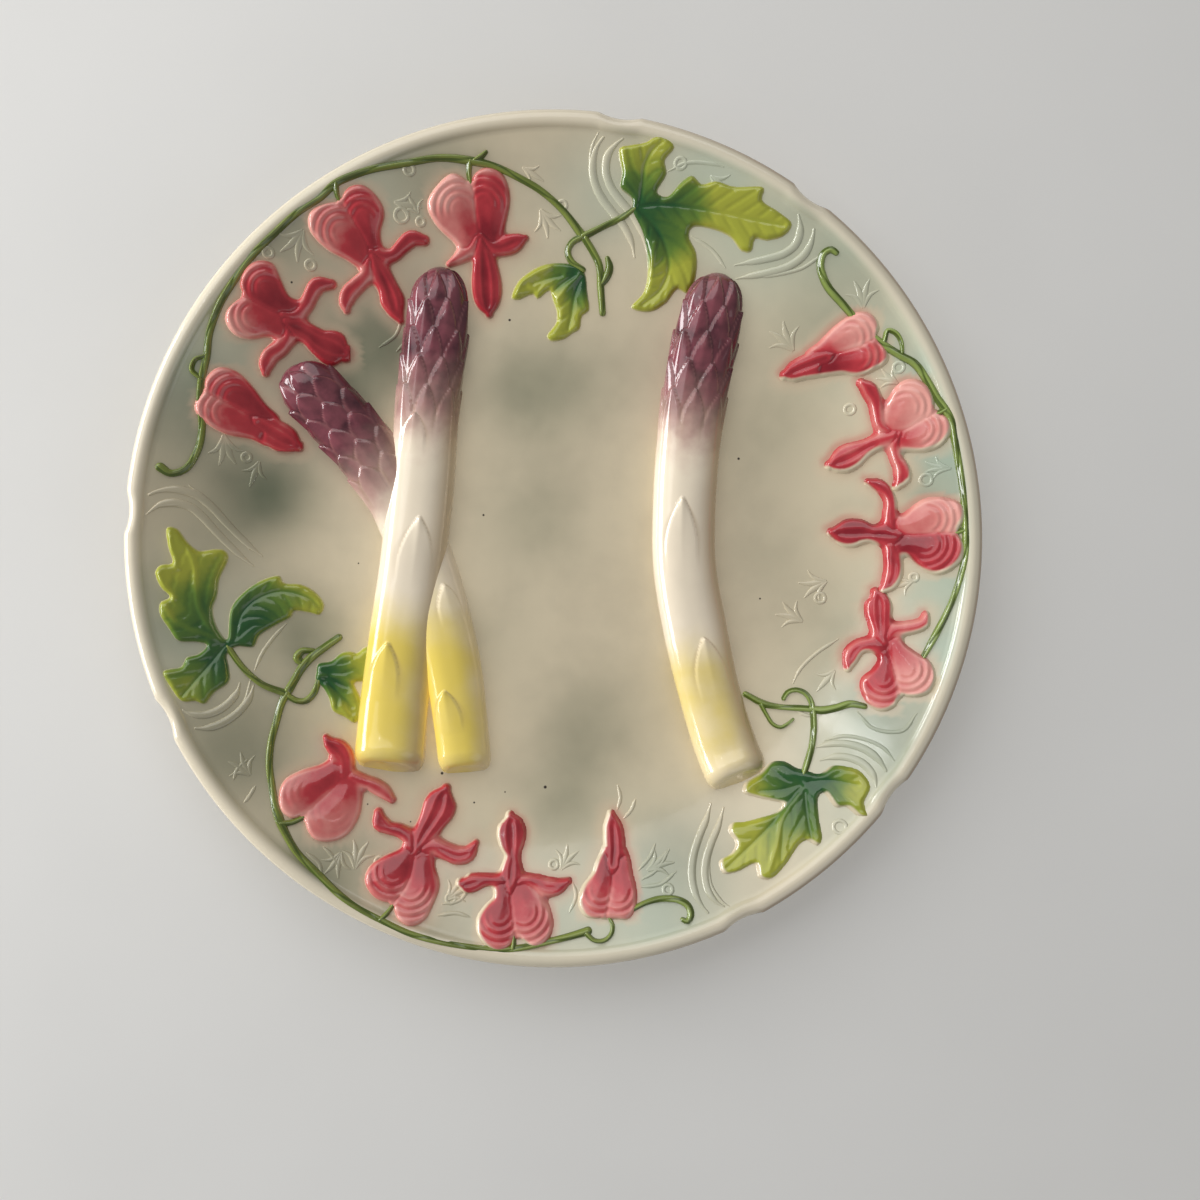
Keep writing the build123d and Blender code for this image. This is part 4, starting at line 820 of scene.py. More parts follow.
# Leaves: where the veins meet, how the tone fades in from there, pale patches, main veins and raised folds
LEAF_VEINS = {
    "top_leaf_large": {
        "base": (24.5, 95.8),
        "fade": (0.08, 0.62),
        "pale": [(26.5, 107.5, 6.5, 0.5), (37.0, 76.0, 5.0, 0.3)],
        "grooves": [
            [(24.5, 96.2), (32.0, 96.5), (40.0, 95.5), (48.0, 94.0), (58.0, 91.5), (66.0, 89.8)],
            [(24.5, 95.5), (29.0, 91.0), (32.5, 85.0), (33.5, 79.0), (31.0, 73.0), (26.0, 69.0)],
            [(25.0, 97.5), (25.8, 103.0), (26.3, 107.0), (28.5, 111.0), (31.0, 113.0)],
        ],
        "folds": [
            [(32.3, 97.8), (36.0, 100.5), (40.0, 103.0)],
            [(29.3, 86.0), (28.5, 81.0), (27.6, 77.0)],
        ],
    },
    "top_leaf_small": {
        "base": (8.4, 78.4),
        "fade": (0.08, 0.66),
        "pale": [],
        "grooves": [
            [(6.0, 77.3), (2.0, 75.0), (-0.3, 72.8)],
            [(8.0, 77.0), (6.0, 72.0), (5.0, 66.0), (4.0, 61.5)],
            [(2.0, 77.5), (-2.0, 76.6), (-6.0, 75.3)],
        ],
        "folds": [
            [(8.0, 77.8), (4.5, 75.0), (1.5, 71.5), (-0.2, 68.5)],
            [(-1.2, 79.8), (-6.0, 77.5), (-10.0, 75.0), (-11.2, 71.5)],
        ],
    },
    "left_leaf_large": {
        "base": (-94.5, -30.0),
        "fade": (0.1, 1.0),
        "pale": [(-108.0, -8.0, 7.5, 0.34), (-107.5, -22.0, 5.0, 0.18), (-104.5, -42.5, 5.5, 0.3)],
        "grooves": [
            [
                (-92.5, -29.0), (-91.0, -22.0), (-87.0, -17.5), (-80.0, -15.0), (-72.0, -17.0),
                (-68.5, -20.0),
            ],
            [(-95.0, -30.6), (-99.0, -36.0), (-103.0, -41.0), (-106.0, -45.0)],
        ],
        "folds": [
            [
                (-95.5, -29.5), (-99.5, -24.5), (-102.0, -19.0), (-102.7, -13.0), (-103.3, -7.0),
                (-105.0, -2.0),
            ],
            [(-96.0, -29.0), (-100.0, -27.5), (-105.0, -25.5), (-108.5, -23.0), (-110.5, -19.5)],
            [(-108.5, -17.0), (-111.0, -13.5), (-113.0, -9.0)],
            [(-107.8, -8.5), (-109.3, -5.0), (-109.7, 0.0)],
            [(-93.8, -28.5), (-94.2, -24.0), (-93.8, -20.0)],
        ],
    },
    "left_leaf_small": {
        "base": (-69.4, -39.6),
        "fade": (0.1, 0.8),
        "pale": [],
        "grooves": [
            [(-66.0, -40.0), (-63.0, -42.0), (-60.5, -43.0)],
            [(-67.0, -41.0), (-63.0, -45.0), (-59.0, -49.0)],
        ],
        "folds": [
            [(-69.0, -39.5), (-65.0, -40.0), (-62.5, -40.0), (-59.5, -41.6)],
            [(-66.8, -42.5), (-65.5, -45.0), (-64.6, -48.0)],
            [(-62.3, -48.5), (-60.5, -51.0)],
        ],
    },
    "bottom_leaf": {
        "base": (72.3, -69.3),
        "fade": (0.14, 0.7),
        "pale": [(85.5, -71.0, 5.5, 0.4), (58.5, -72.5, 4.5, 0.35)],
        "grooves": [
            [(71.5, -71.5), (68.0, -76.0), (63.0, -82.0), (57.0, -88.0), (50.0, -94.5)],
            [(71.0, -71.0), (66.0, -72.5), (60.0, -73.0)],
            [(72.5, -73.0), (73.0, -80.0), (74.0, -86.0)],
            [(74.0, -70.0), (80.0, -69.5), (87.0, -70.5)],
        ],
        "folds": [
            [(70.4, -73.8), (66.0, -80.0), (64.0, -88.0), (61.6, -95.0)],
        ],
    },
}

# Bracts on the spears' shafts, each from its point along one side or the other
SHAFT_BRACTS = {
    "spear_left_front": [(43.5, -0.28, 12.0, 3.6), (73.5, 0.14, 21.0, 5.2), (110.5, -0.3, 17.0, 4.6)],
    "spear_right": [(66.5, -0.1, 22.0, 4.8), (107.5, 0.17, 19.0, 4.8)],
    "spear_left_back_head": [],
    "spear_left_back_shaft": [(15.0, 0.44, 12.0, 3.6), (45.0, -0.36, 13.0, 4.2)],
}

# Fine raised lines that run beside the scrolls and around the flowers
TRACERY = [
    [(13.0, 116.0), (11.4, 113.0), (10.8, 107.9), (12.8, 102.1), (17.5, 95.1)],
    [(79.0, 82.5), (75.5, 80.3), (71.5, 78.0), (64.7, 76.6), (58.0, 76.2)],
    [(33.0, 105.5), (38.0, 107.5), (46.0, 107.0), (54.0, 104.0)],
    [(40.0, 88.0), (46.0, 84.0), (50.0, 79.0)],
    [(-105.0, 15.5), (-101.5, 12.5), (-98.5, 9.0), (-96.0, 5.5), (-93.0, 2.5), (-89.0, -2.8)],
    [(-88.0, -40.5), (-89.0, -46.0), (-92.0, -51.0), (-96.0, -54.0)],
    [(-87.0, -38.0), (-85.0, -33.0), (-82.0, -28.5), (-78.5, -24.5)],
    [(45.3, -89.0), (44.7, -95.0), (45.5, -100.0), (48.5, -104.0), (52.5, -106.0)],
    [(78.5, -58.4), (83.5, -57.0), (89.0, -57.6), (94.6, -60.0), (98.0, -64.2)],
    [(88.0, -50.0), (92.0, -54.5), (100.0, -55.0), (104.0, -50.0)],
    [(70.0, -42.0), (72.0, -38.0), (77.0, -33.0), (83.0, -29.0)],
    [(75.0, -51.5), (73.0, -51.0), (71.4, -50.2)],
    [(-70.5, -90.0), (-67.0, -93.0), (-66.0, -96.0)],
    [(-66.0, -88.5), (-63.5, -91.0), (-61.0, -95.0)],
    [(-88.0, -63.5), (-90.5, -66.0), (-91.5, -69.0)],
    [(-85.5, -71.0), (-87.5, -74.5), (-90.0, -77.0)],
    [(-32.0, -105.0), (-27.0, -104.0), (-24.5, -101.0), (-23.0, -98.0)],
    [(-33.0, -108.0), (-28.0, -107.5), (-24.0, -108.5)],
    [(4.6, -107.5), (6.5, -103.0), (5.5, -99.5)],
    [(25.5, -98.5), (30.0, -95.5), (33.5, -90.0)],
    [(25.0, -100.5), (31.0, -99.5), (35.5, -96.0)],
    [(24.5, -96.0), (28.0, -92.0), (29.5, -88.5)],
    [(18.5, -79.0), (19.4, -75.5), (18.6, -72.0)],
    [(-44.6, 65.0), (-46.6, 60.2), (-51.4, 56.6)],
    [(-42.6, 63.4), (-43.4, 59.0), (-46.4, 55.4)],
    [(20.4, -81.5), (22.6, -79.0), (23.8, -76.0)],
]
TRACERY_RINGS = [
    (36.5, 107.5, 1.5), (82.0, -82.5, 1.8), (-38.5, 92.0, 1.1), (-70.0, 79.0, 1.3), (2.5, 97.0, 1.2),
    (104.0, -11.0, 1.1), (-29.5, -103.5, 1.3), (0.0, -94.5, 1.2), (-81.4, 81.8, 1.3),
    (-43.9, 93.5, 1.9), (-41.2, 105.7, 1.4), (99.2, 49.2, 1.4), (86.1, 37.9, 1.4), (107.2, 17.0, 1.6),
    (-89.5, 24.0, 1.2), (78.0, -17.0, 1.4), (-50.0, -93.0, 1.3), (33.0, -101.0, 1.3),
]

# Moulded sprays of slender leaves on the rim: x, y, heading and spread in degrees, leaves and length
SPRAYS = [
    (-71.5, 88.5, 240.0, 90.0, 4, 10.0), (-95.5, 30.5, 275.0, 75.0, 4, 10.0),
    (-46.0, 97.0, 350.0, 70.0, 3, 8.0), (-4.0, 96.0, 300.0, 80.0, 4, 9.0),
    (-9.0, 107.0, 330.0, 60.0, 3, 7.0), (99.3, 44.5, 150.0, 70.0, 4, 7.0),
    (114.0, 20.0, 175.0, 60.0, 4, 8.0), (104.0, -12.0, 200.0, 70.0, 3, 7.0),
    (80.0, -12.0, 200.0, 90.0, 4, 9.0), (73.0, -24.0, 150.0, 80.0, 4, 9.0),
    (-57.0, -95.0, 80.0, 80.0, 4, 9.0), (-31.0, -104.0, 40.0, 80.0, 4, 8.0),
    (27.0, -96.0, 30.0, 70.0, 4, 9.0), (-87.0, -68.0, 130.0, 90.0, 4, 8.0),
    (45.0, 104.0, 320.0, 70.0, 3, 8.0), (89.0, 66.0, 95.0, 80.0, 4, 9.0),
    (-84.0, 79.0, 200.0, 60.0, 3, 7.0), (82.0, -38.0, 230.0, 70.0, 3, 8.0),
    (70.0, 55.0, 125.0, 80.0, 4, 10.0), (-61.0, -90.0, 250.0, 90.0, 4, 8.0),
    (2.0, -96.0, 60.0, 80.0, 4, 8.0), (-86.0, 23.0, 250.0, 70.0, 3, 8.0),
    (-39.0, 94.0, 120.0, 90.0, 3, 6.0),
]
# A leaf of a spray: shares of its length along, aside and wide
SPRAY_LEAF = [(0.06, 0.0, 0.08), (0.38, 0.11, 0.22), (0.72, 0.09, 0.17), (1.0, -0.08, 0.06)]

# Clouds in the cream glaze: x, y, radius and strength
SAGE_CLOUDS = [
    (-51.0, 57.0, 13.0, 0.95), (-58.0, 46.0, 10.0, 0.6), (-5.0, 45.0, 13.0, 0.62),
    (-85.0, 15.0, 12.0, 0.9), (-6.0, 6.0, 12.0, 0.4), (63.0, 30.0, 15.0, 0.32),
    (10.5, -56.0, 13.0, 0.4), (2.0, -76.0, 10.0, 0.42), (40.0, -94.0, 14.0, 0.4),
    (-92.0, -60.0, 14.0, 0.85), (-66.0, -97.0, 13.0, 0.7), (-104.0, 34.0, 16.0, 0.5),
    (-80.0, 90.0, 16.0, 0.5), (-112.0, -20.0, 12.0, 0.4), (-74.0, -28.0, 10.0, 0.6),
    (78.0, 62.0, 14.0, 0.4), (80.0, -26.0, 15.0, 0.2), (104.0, 10.0, 12.0, 0.35),
    (100.0, -54.0, 12.0, 0.4), (-40.0, -112.0, 14.0, 0.4), (-35.0, 103.0, 11.0, 0.45),
    (-22.0, -30.0, 12.0, 0.2), (13.0, 50.0, 10.0, 0.18), (66.0, -6.0, 11.0, 0.2),
    (-102.0, 5.0, 10.0, 0.25), (72.0, 92.0, 10.0, 0.2), (91.0, 80.0, 10.0, 0.26),
]
TURQUOISE_CLOUDS = [
    (114.0, 26.0, 9.0, 0.9), (118.0, 8.0, 9.0, 0.9), (117.0, -12.0, 9.0, 0.9), (112.0, -32.0, 9.0, 0.8),
    (107.0, 46.0, 9.0, 0.9), (104.0, 20.0, 12.0, 0.35), (104.0, -24.0, 14.0, 0.4),
    (94.0, -56.0, 16.0, 0.7), (96.0, 58.0, 14.0, 0.6), (45.0, 106.0, 16.0, 0.6),
    (60.0, 84.0, 14.0, 0.6), (30.0, -108.0, 18.0, 0.7), (-106.0, -28.0, 16.0, 0.5),
    (84.0, -84.0, 14.0, 0.3), (14.0, 100.0, 12.0, 0.5), (-60.0, 104.0, 16.0, 0.5),
    (-104.0, 50.0, 16.0, 0.5), (-8.0, -108.0, 16.0, 0.5), (86.0, 84.0, 12.0, 0.6),
]

# Dark specks in the glaze: x, y and radius
SPECKS = [
    (-33.0, -68.5, 0.45), (-2.7, -72.6, 0.5), (54.2, 24.0, 0.4), (-20.9, 7.4, 0.35),
    (-31.4, 17.6, 0.35), (-13.2, 64.8, 0.4), (-50.0, 31.0, 0.35), (49.4, -34.5, 0.4),
    (-39.0, -57.7, 0.3), (-34.4, -51.7, 0.3), (-27.0, -59.3, 0.3), (-75.5, 74.0, 0.35),
    (-23.5, -77.0, 0.3), (-14.5, -74.0, 0.25), (60.5, -17.2, 0.3), (-57.7, -6.8, 0.25),
    (-54.2, -77.0, 0.25), (-41.8, -82.2, 0.25),
]

# Marks that the kiln spurs left beneath: angle in degrees
SPUR_ANGLES_DEG = (20.0, 140.0, 260.0)
SPUR_CIRCLE = 44.0
SPUR_RADIUS = 1.3
SPUR_FADE_RADIUS = 2.6


def linear(red, green, blue):
    """A screen colour, counted from 0 to 255, as the linear values that shaders use."""
    values = []
    for part in (red, green, blue):
        share = part / SCREEN_LEVELS
        curve = ((share + SCREEN_OFFSET) / (1 + SCREEN_OFFSET)) ** SCREEN_POWER
        values.append(share / SCREEN_TOE_SLOPE if share <= SCREEN_TOE else curve)
    return tuple(values)


def size_field(label, description, millimetres):
    """A length that a user may change, with its default in mm."""
    return bpy.props.FloatProperty(
        name=label, description=description, default=millimetres * MM, min=0, unit="LENGTH", precision=5
    )


def power_field(label, description, watts):
    """A light's power that a user may change."""
    return bpy.props.FloatProperty(name=label, description=description, default=watts, min=0, unit="POWER")


def colour_field(label, description, red, green, blue):
    """A glaze colour that a user may change."""
    return bpy.props.FloatVectorProperty(
        name=label, description=description, default=linear(red, green, blue), size=3, min=0, max=1,
        subtype="COLOR",
    )


class PlateSizes(bpy.types.PropertyGroup):
    """Heights of the relief above the plate's face, and depths cut into it."""

    lip_rise: size_field("Lip rise", "How far the rolled lip stands over its edges", 1.5)
    notch_depth: size_field("Notch depth", "Depth of the scallops in the edge", 1.3)
    flower_height: size_field("Flower height", "Relief of the flowers", 2.5)
    leaf_height: size_field("Leaf height", "Relief of the leaves", 2.0)
    stem_height: size_field("Stem height", "Relief of stems and twigs", 1.6)
    scroll_height: size_field("Scroll height", "Relief of the scrolls on the rim", 0.6)
    tracery_height: size_field("Tracery height", "Relief of the fine lines", 0.34)
    tracery_width: size_field("Tracery width", "Width of the fine lines", 1.1)
    scale_step: size_field("Scale step", "How far a spear's scales stand out at their points", 1.1)


class GlazeColours(bpy.types.PropertyGroup):
    """Colours of the glazes, as they are laid on by hand; some of them also stand in for painted light and
    shade on the spears' flanks, the lip's right edge and the right-hand stems.
    """

    cream: colour_field("Cream", "Ground of the plate", 212, 199, 171)
    sage: colour_field("Sage", "Clouds where the ground glaze pools", 98, 106, 84)
    turquoise: colour_field("Turquoise", "Pale wash on the rim", 172, 188, 170)
    blush: colour_field("Blush", "Warm ground around the flowers", 210, 188, 160)
    lip: colour_field("Lip", "Where glaze runs thin on the lip", 228, 217, 194)
    # Painted shade: brown on the outer lip edge at the plate's right, away from the window light
    right_edge_shade: colour_field("Worn edge", "Clay that shows through at the edge", 140, 112, 84)
    biscuit: colour_field("Biscuit", "Bare clay", 186, 150, 112)
    crimson: colour_field("Crimson", "Deep glaze of the flowers", 130, 20, 34)
    rose: colour_field("Rose", "Middle glaze of the flowers", 186, 54, 62)
    pink: colour_field("Pink", "Thin glaze on the flowers' ridges", 228, 162, 150)
    leaf_deep: colour_field("Leaf green", "Deep glaze in the middle of a leaf", 30, 78, 36)
    leaf_mid: colour_field("Mid green", "Middle glaze of a leaf", 92, 120, 42)
    leaf_light: colour_field("Yellow green", "Thin glaze at a leaf's tips", 160, 164, 56)
    stem: colour_field("Stem green", "Glaze of stems and twigs", 122, 134, 60)
    # Painted light: the stems on the plate's right take this paler green, those on the shaded left the
    # plain stem green
    stem_painted_light: colour_field("Pale stem green", "Thin glaze of the right stems", 134, 152, 78)
    stem_dark: colour_field("Dark stem green", "Glaze pooled along the stems", 76, 92, 32)
    purple: colour_field("Purple", "Heads of the spears", 130, 68, 78)
    # Dark purple also lies down the heads' right flanks as painted shade
    purple_dark: colour_field("Dark purple", "Glaze pooled between the scales", 60, 22, 34)
    mauve: colour_field("Mauve", "Thin glaze where a head fades and on its scales' edges", 184, 126, 122)
    ivory: colour_field("Ivory", "Shafts of the spears", 244, 230, 206)
    # Tan lies in the bracts' hollows on the shafts and, as painted shade, down the spears' right flanks
    tan: colour_field("Tan", "Glaze pooled along the spears' shafts", 172, 146, 106)
    lemon: colour_field("Lemon", "Butt ends of the spears", 230, 204, 74)
    speck: colour_field("Speck", "Iron specks in the glaze", 52, 44, 40)


class StageSettings(bpy.types.PropertyGroup):
    """Floor, lights and camera."""

    floor_size: size_field("Floor size", "Side of the floor", 6000.0)
    floor_colour: colour_field("Floor", "Colour of the floor", 222, 221, 218)
    world_strength: bpy.props.FloatProperty(
        name="Surrounding light", description="Strength of the light from all sides", default=0.25, min=0
    )
    window_power: power_field("Window power", "Power of the low light at the left", 12.0)
    sky_power: power_field("Sky power", "Power of the broad light at the upper left", 12.0)
    fill_power: power_field("Fill power", "Power of the broad light at the lower right", 2.0)
    glint_power: power_field("Glint power", "Power of the small light that the glaze mirrors", 0.06)
    lens: bpy.props.FloatProperty(
        name="Lens", description="Focal length of the camera", default=46.98, min=1, unit="CAMERA"
    )


def face_height(radius):
    """Height of the plate's face at distances from its centre."""
    rest = np.maximum(BEND_RADIUS**2 - (radius - WELL_RADIUS) ** 2, 0)
    bend = WELL_Z + BEND_RADIUS - np.sqrt(rest)
    slope = BEND_END_Z + (radius - BEND_END) * math.tan(RIM_SLOPE)
    return np.where(radius <= WELL_RADIUS, WELL_Z, np.where(radius <= BEND_END, bend, slope))


def lengths(steps):
    """Flat lengths of steps, or the distances of places from the plate's middle."""
    return np.hypot(steps[:, 0], steps[:, 1])


def face_at(places):
    """Height of the plate's face at places on the drawing."""
    return face_height(lengths(places))


def ease(low, high, value):
    """A soft step from 0 at low to 1 at high."""
    share = np.clip((value - low) / (high - low), 0, 1)
    return share * share * (3 - 2 * share)


def bell(distance, width):
    """A soft bump that is 1 in the middle and fades over a width."""
    return np.exp(-((distance / width) ** 2))


def smooth(points, step, closed=False):
    """A smooth line through given points, where further columns such as the width ride along."""
    points = np.array(points, float)
    if closed:
        padded = np.vstack([points[-1:], points, points[:2]])
    else:
        padded = np.vstack([2 * points[:1] - points[1:2], points, 2 * points[-1:] - points[-2:-1]])
    samples = []
    for a, b, c, d in zip(padded, padded[1:], padded[2:], padded[3:]):
        reach = math.dist(b[:2], c[:2])
        ab = math.sqrt(math.dist(a[:2], b[:2]))
        bc = math.sqrt(reach)
        cd = math.sqrt(math.dist(c[:2], d[:2]))
        leave = bc * ((b - a) / ab - (c - a) / (ab + bc) + (c - b) / bc)
        enter = bc * ((c - b) / bc - (d - b) / (bc + cd) + (d - c) / cd)
        count = max(2, int(reach / step))
        for t in np.arange(count) / count:
            bow = (2 * t**3 - 3 * t**2 + 1) * b + (3 * t**2 - 2 * t**3) * c
            samples.append(bow + (t**3 - 2 * t**2 + t) * leave + (t**3 - t**2) * enter)
    if not closed:
        samples.append(points[-1])
    return np.array(samples)


def nearest(places, line, closed=False):
    """Distance of places from a line, and where along its samples the nearest point lies."""
    starts = line if closed else line[:-1]
    ends = np.roll(line, -1, axis=0) if closed else line[1:]
    distance = np.full(len(places), np.inf)
    along = np.zeros(len(places))
    for index, (start, end) in enumerate(zip(starts[:, :2], ends[:, :2])):
        run = end - start
        share = np.clip((places - start) @ run / (run @ run), 0, 1)
        length = lengths(places - start - share[:, None] * run)
        closer = length < distance
        distance[closer] = length[closer]
        along[closer] = index + share[closer]
    return distance, along


def within(places, line):
    """Whether places lie inside a closed line."""
    x, y = places.T
    odd = np.zeros(len(places), bool)
    for (ax, ay), (bx, by) in zip(line, np.roll(line, -1, axis=0)):
        if ay != by:
            crossing = (ay > y) != (by > y)
            odd ^= crossing & (x < (bx - ax) * (y - ay) / (by - ay) + ax)
    return odd


def box_around(points, margin):
    """Lowest and highest corner of the box around points, widened by a margin."""
    corners = np.array([point[:2] for point in points])
    return corners.min(axis=0) - margin, corners.max(axis=0) + margin


def close_by(places, points, margin):
    """Whether places lie in the box around points, widened by a margin."""
    low, high = box_around(points, margin)
    return np.all((places > low) & (places < high), axis=1)


def outline_reach(places, points):
    """How far inside a closed outline places lie, and negative outside it."""
    reach = np.full(len(places), FAR_OUT)
    near = close_by(places, points, PAD_MARGIN)
    line = smooth(points, LINE_STEP, closed=True)
    distance, _ = nearest(places[near], line, closed=True)
    reach[near] = np.where(within(places[near], line), distance, -distance)
    return reach


def strip_reach(places, points):
    """How far inside a strip places lie, half its width there, and the share of its length."""
    reach = np.full(len(places), FAR_OUT)
    half = np.ones(len(places))
    share = np.zeros(len(places))
    near = close_by(places, points, PAD_MARGIN + max(width for _, _, width in points))
    line = smooth(points, LINE_STEP)
    distance, along = nearest(places[near], line)
    half[near] = np.interp(along, np.arange(len(line)), line[:, 2] / 2)
    reach[near] = half[near] - distance
    share[near] = along / (len(line) - 1)
    return reach, half, share


def round_over(reach, width, height):
    """A quarter round that climbs to a height over a width, and dives below the face outside."""
    rise = 1 - np.clip(reach / width, 0, 1)
    return np.where(reach < 0, DIVE_SLOPE * reach, height * np.sqrt(1 - rise**2))


def mesh_object(bm, name, material):
    """Turns a closed bmesh in mm into a smooth-shaded piece in metres."""
    bmesh.ops.recalc_face_normals(bm, faces=bm.faces)
    bmesh.ops.scale(bm, vec=(MM, MM, MM), verts=bm.verts)
    for face in bm.faces:
        face.smooth = True
    mesh = bpy.data.meshes.new(name)
    bm.to_mesh(mesh)
    bm.free()
    mesh.materials.append(material)
    piece = bpy.data.objects.new(name, mesh)
    bpy.context.scene.collection.objects.link(piece)
    return piece


def vertex_places(mesh):
    """Places of a mesh's vertices in mm."""
    flat = np.empty(len(mesh.vertices) * 3)
    mesh.vertices.foreach_get("co", flat)
    return flat.reshape(-1, 3) / MM


def set_vertex_places(mesh, places):
    """Moves a mesh's vertices to places in mm."""
    mesh.vertices.foreach_set("co", (places * MM).ravel())
    mesh.update()


def set_marks(mesh, marks):
    """Stores values for the glaze on a mesh's vertices."""
    for name, values in marks.items():
        layer = mesh.attributes.new(name, "FLOAT", "POINT")
        layer.data.foreach_set("value", np.asarray(values, np.float32))


def hand_in(piece, slot, *nodes):
    """Declares what a finished piece rides on and the solids it stands for; its slot is not used."""
    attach(piece, BODY)
    if nodes:
        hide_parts(*nodes)


def relief_pad(name, points, reach_at, field, material):
    """A closed pad on the plate's face, cut out where it has reach and shaped by a field."""
    low, high = box_around(points, PAD_MARGIN)
    middle = Vector((*(low + high) / 2, 0))
    spread = Matrix.Diagonal((*(high - low) / 2, 1, 1))
    counts = np.ceil((high - low) / PAD_STEP).astype(int)
    bm = bmesh.new()
    bmesh.ops.create_grid(
        bm, x_segments=int(counts[0]), y_segments=int(counts[1]), size=1,
        matrix=Matrix.Translation(middle) @ spread,
    )
    reach = reach_at(np.array([vert.co.xy for vert in bm.verts]))
    outside = [vert for vert, inset in zip(bm.verts, reach) if inset < -PAD_EDGE]
    bmesh.ops.delete(bm, geom=outside, context="VERTS")
    loose = [vert for vert in bm.verts if not vert.link_faces]
    bmesh.ops.delete(bm, geom=loose, context="VERTS")
    raised = bmesh.ops.extrude_face_region(bm, geom=bm.faces[:], use_keep_orig=True)
    top = [part for part in raised["geom"] if isinstance(part, bmesh.types.BMVert)]
    bmesh.ops.translate(bm, vec=(0, 0, 1), verts=top)
    piece = mesh_object(bm, name, material)
    places = vertex_places(piece.data)
    is_top = places[:, 2] > PAD_TOP_TEST
    marks = {key: np.zeros(len(places)) for key in PAD_MARKS}
    shaped = field(places[is_top, :2])
    for key, values in marks.items():
        values[is_top] = shaped[key]
    lift = np.where(is_top, np.maximum(marks.pop("height"), PAD_TOP_TEST - PAD_BED), -PAD_BED)
    places[:, 2] = face_at(places) + lift
    set_vertex_places(piece.data, places)
    set_marks(piece.data, marks)
    return piece


def paint_shift(name):
    """How far the glaze of a node lies off its relief."""
    return np.array(PAINT_SHIFTS.get(name, (0.0, 0.0)))


def flower_points(name):
    """All listed points of a flower."""
    return [point for part in FLOWER_LOBES[name] + FLOWER_STRIPS[name] for point in part]


def flower_parts(places, name):
    """Reach inside each part of a flower, lobes first, and what is known of its strips."""
    reaches = [outline_reach(places, points) for points in FLOWER_LOBES[name]]
    strips = [strip_reach(places, points) for points in FLOWER_STRIPS[name]]
    return reaches + [strip[0] for strip in strips], strips


def joined_reach(reaches):
    """Reach inside parts that flow together, with the seams between them filled."""
    return SEAM_FILL * np.log(sum(np.exp(reach / SEAM_FILL) for reach in reaches)) + FLOWER_GROWTH


def flower_reach(places, name):
    """How far inside a flower's joined outline places lie."""
    return joined_reach(flower_parts(places, name)[0])


def lobe_ridges(places, points, heart):
    """Arcs nested in a lobe's round end, and the share of the lobe's length at which places lie."""
    line = smooth(points, LINE_STEP, closed=True)
    away = lengths(line - heart)
    end = line[away > ARC_END_SHARE * away.max()].mean(axis=0)
    course = (end - heart) / math.dist(end, heart)
    centre = heart + ARC_CENTRE_SHARE * (end - heart)
    offset = places - centre
    radius = lengths(offset)
    facing = offset @ course / np.maximum(radius, SMALL)
    outer = math.dist(end, centre) - LOBE_RIM
    wave = np.cos(2 * math.pi * (outer - radius) / LOBE_RIDGE_SPACING)
    share = lengths(places - heart) / away.max()
    return wave * ease(*ARC_FACING, facing) * ease(*ARC_RADII, radius), share


def flower_field(name, height):
    """The field of a flower: lobes ridged along their round ends, and arms and a drop with rims."""
    lobe_tones, strip_tones = FLOWER_TONES[name]
    shift = paint_shift(name)
    heart = np.array(FLOWER_STRIPS[name][0][0][:2])
    ridged = RIDGE_SHARES.get(name, 1.0)

    def field(places):
        reaches, strips = flower_parts(places, name)
        joined = joined_reach(reaches)
        lifts = []
        tones = []
        for points, pale in zip(FLOWER_LOBES[name], lobe_tones):
            ridge, share = lobe_ridges(places, points, heart)
            lifts.append(LOBE_RIDGE * ridged * ridge)
            tones.append(pale + LOBE_TONE_FALL * (share - LOBE_TONE_MIDDLE) + RIDGE_TONE * ridged * ridge)
        for pale, (reach, half, share) in zip(strip_tones, strips):
            middle = bell(reach - half, STRIP_VALLEY_SHARE * half)
            wide = ease(*STRIP_VALLEY_FADE, half)
            loop = bell(reach - STRIP_LOOP_SHARE * half, STRIP_LOOP_WIDTH) * wide
            lifts.append(STRIP_LIFT + STRIP_LOOP_RISE * loop - STRIP_VALLEY * middle * wide)
            shade = (pale - STRIP_TONE_DIP * middle) * (1 - STRIP_TIP_DARK * ease(*STRIP_TIP_FADE, share))
            tones.append(shade + STRIP_LOOP_TONE * loop)
        weights = [np.exp(np.clip(reach, FAR_OUT, STRIP_EDGE) / PART_BLEND) for reach in reaches]
        total = sum(weights)
        lift = sum(weight * part for weight, part in zip(weights, lifts)) / total
        tone = sum(weight * part for weight, part in zip(weights, tones)) / total
        ordered = np.sort(np.array(reaches), axis=0)
        seam = bell(ordered[-1] - ordered[-2], SEAM_WIDTH) * (1 - ease(*SEAM_FADE, ordered[-1]))
        seam = seam * ease(0, LOBE_EDGE, joined) * ridged
        top = round_over(joined, LOBE_EDGE, LOBE_SHARE * height)
        top = top + LOBE_CROWN * height * ease(0, LOBE_CROWN_WIDTH, joined)
        rim = bell(joined - LOBE_RIM, RIM_BAND)
        lift = lift * ease(0, LOBE_RIM, joined) + RIM_RISE * rim - SEAM_DEPTH * seam
        top = top + np.where(joined > 0, lift, 0)
        tone = tone + RIM_TONE * rim - SEAM_TONE * seam
        paint = flower_reach(places - shift, name) if shift.any() else joined
        return {"height": top, "tone": np.clip(tone, 0, 1), "paint": paint}

    return field


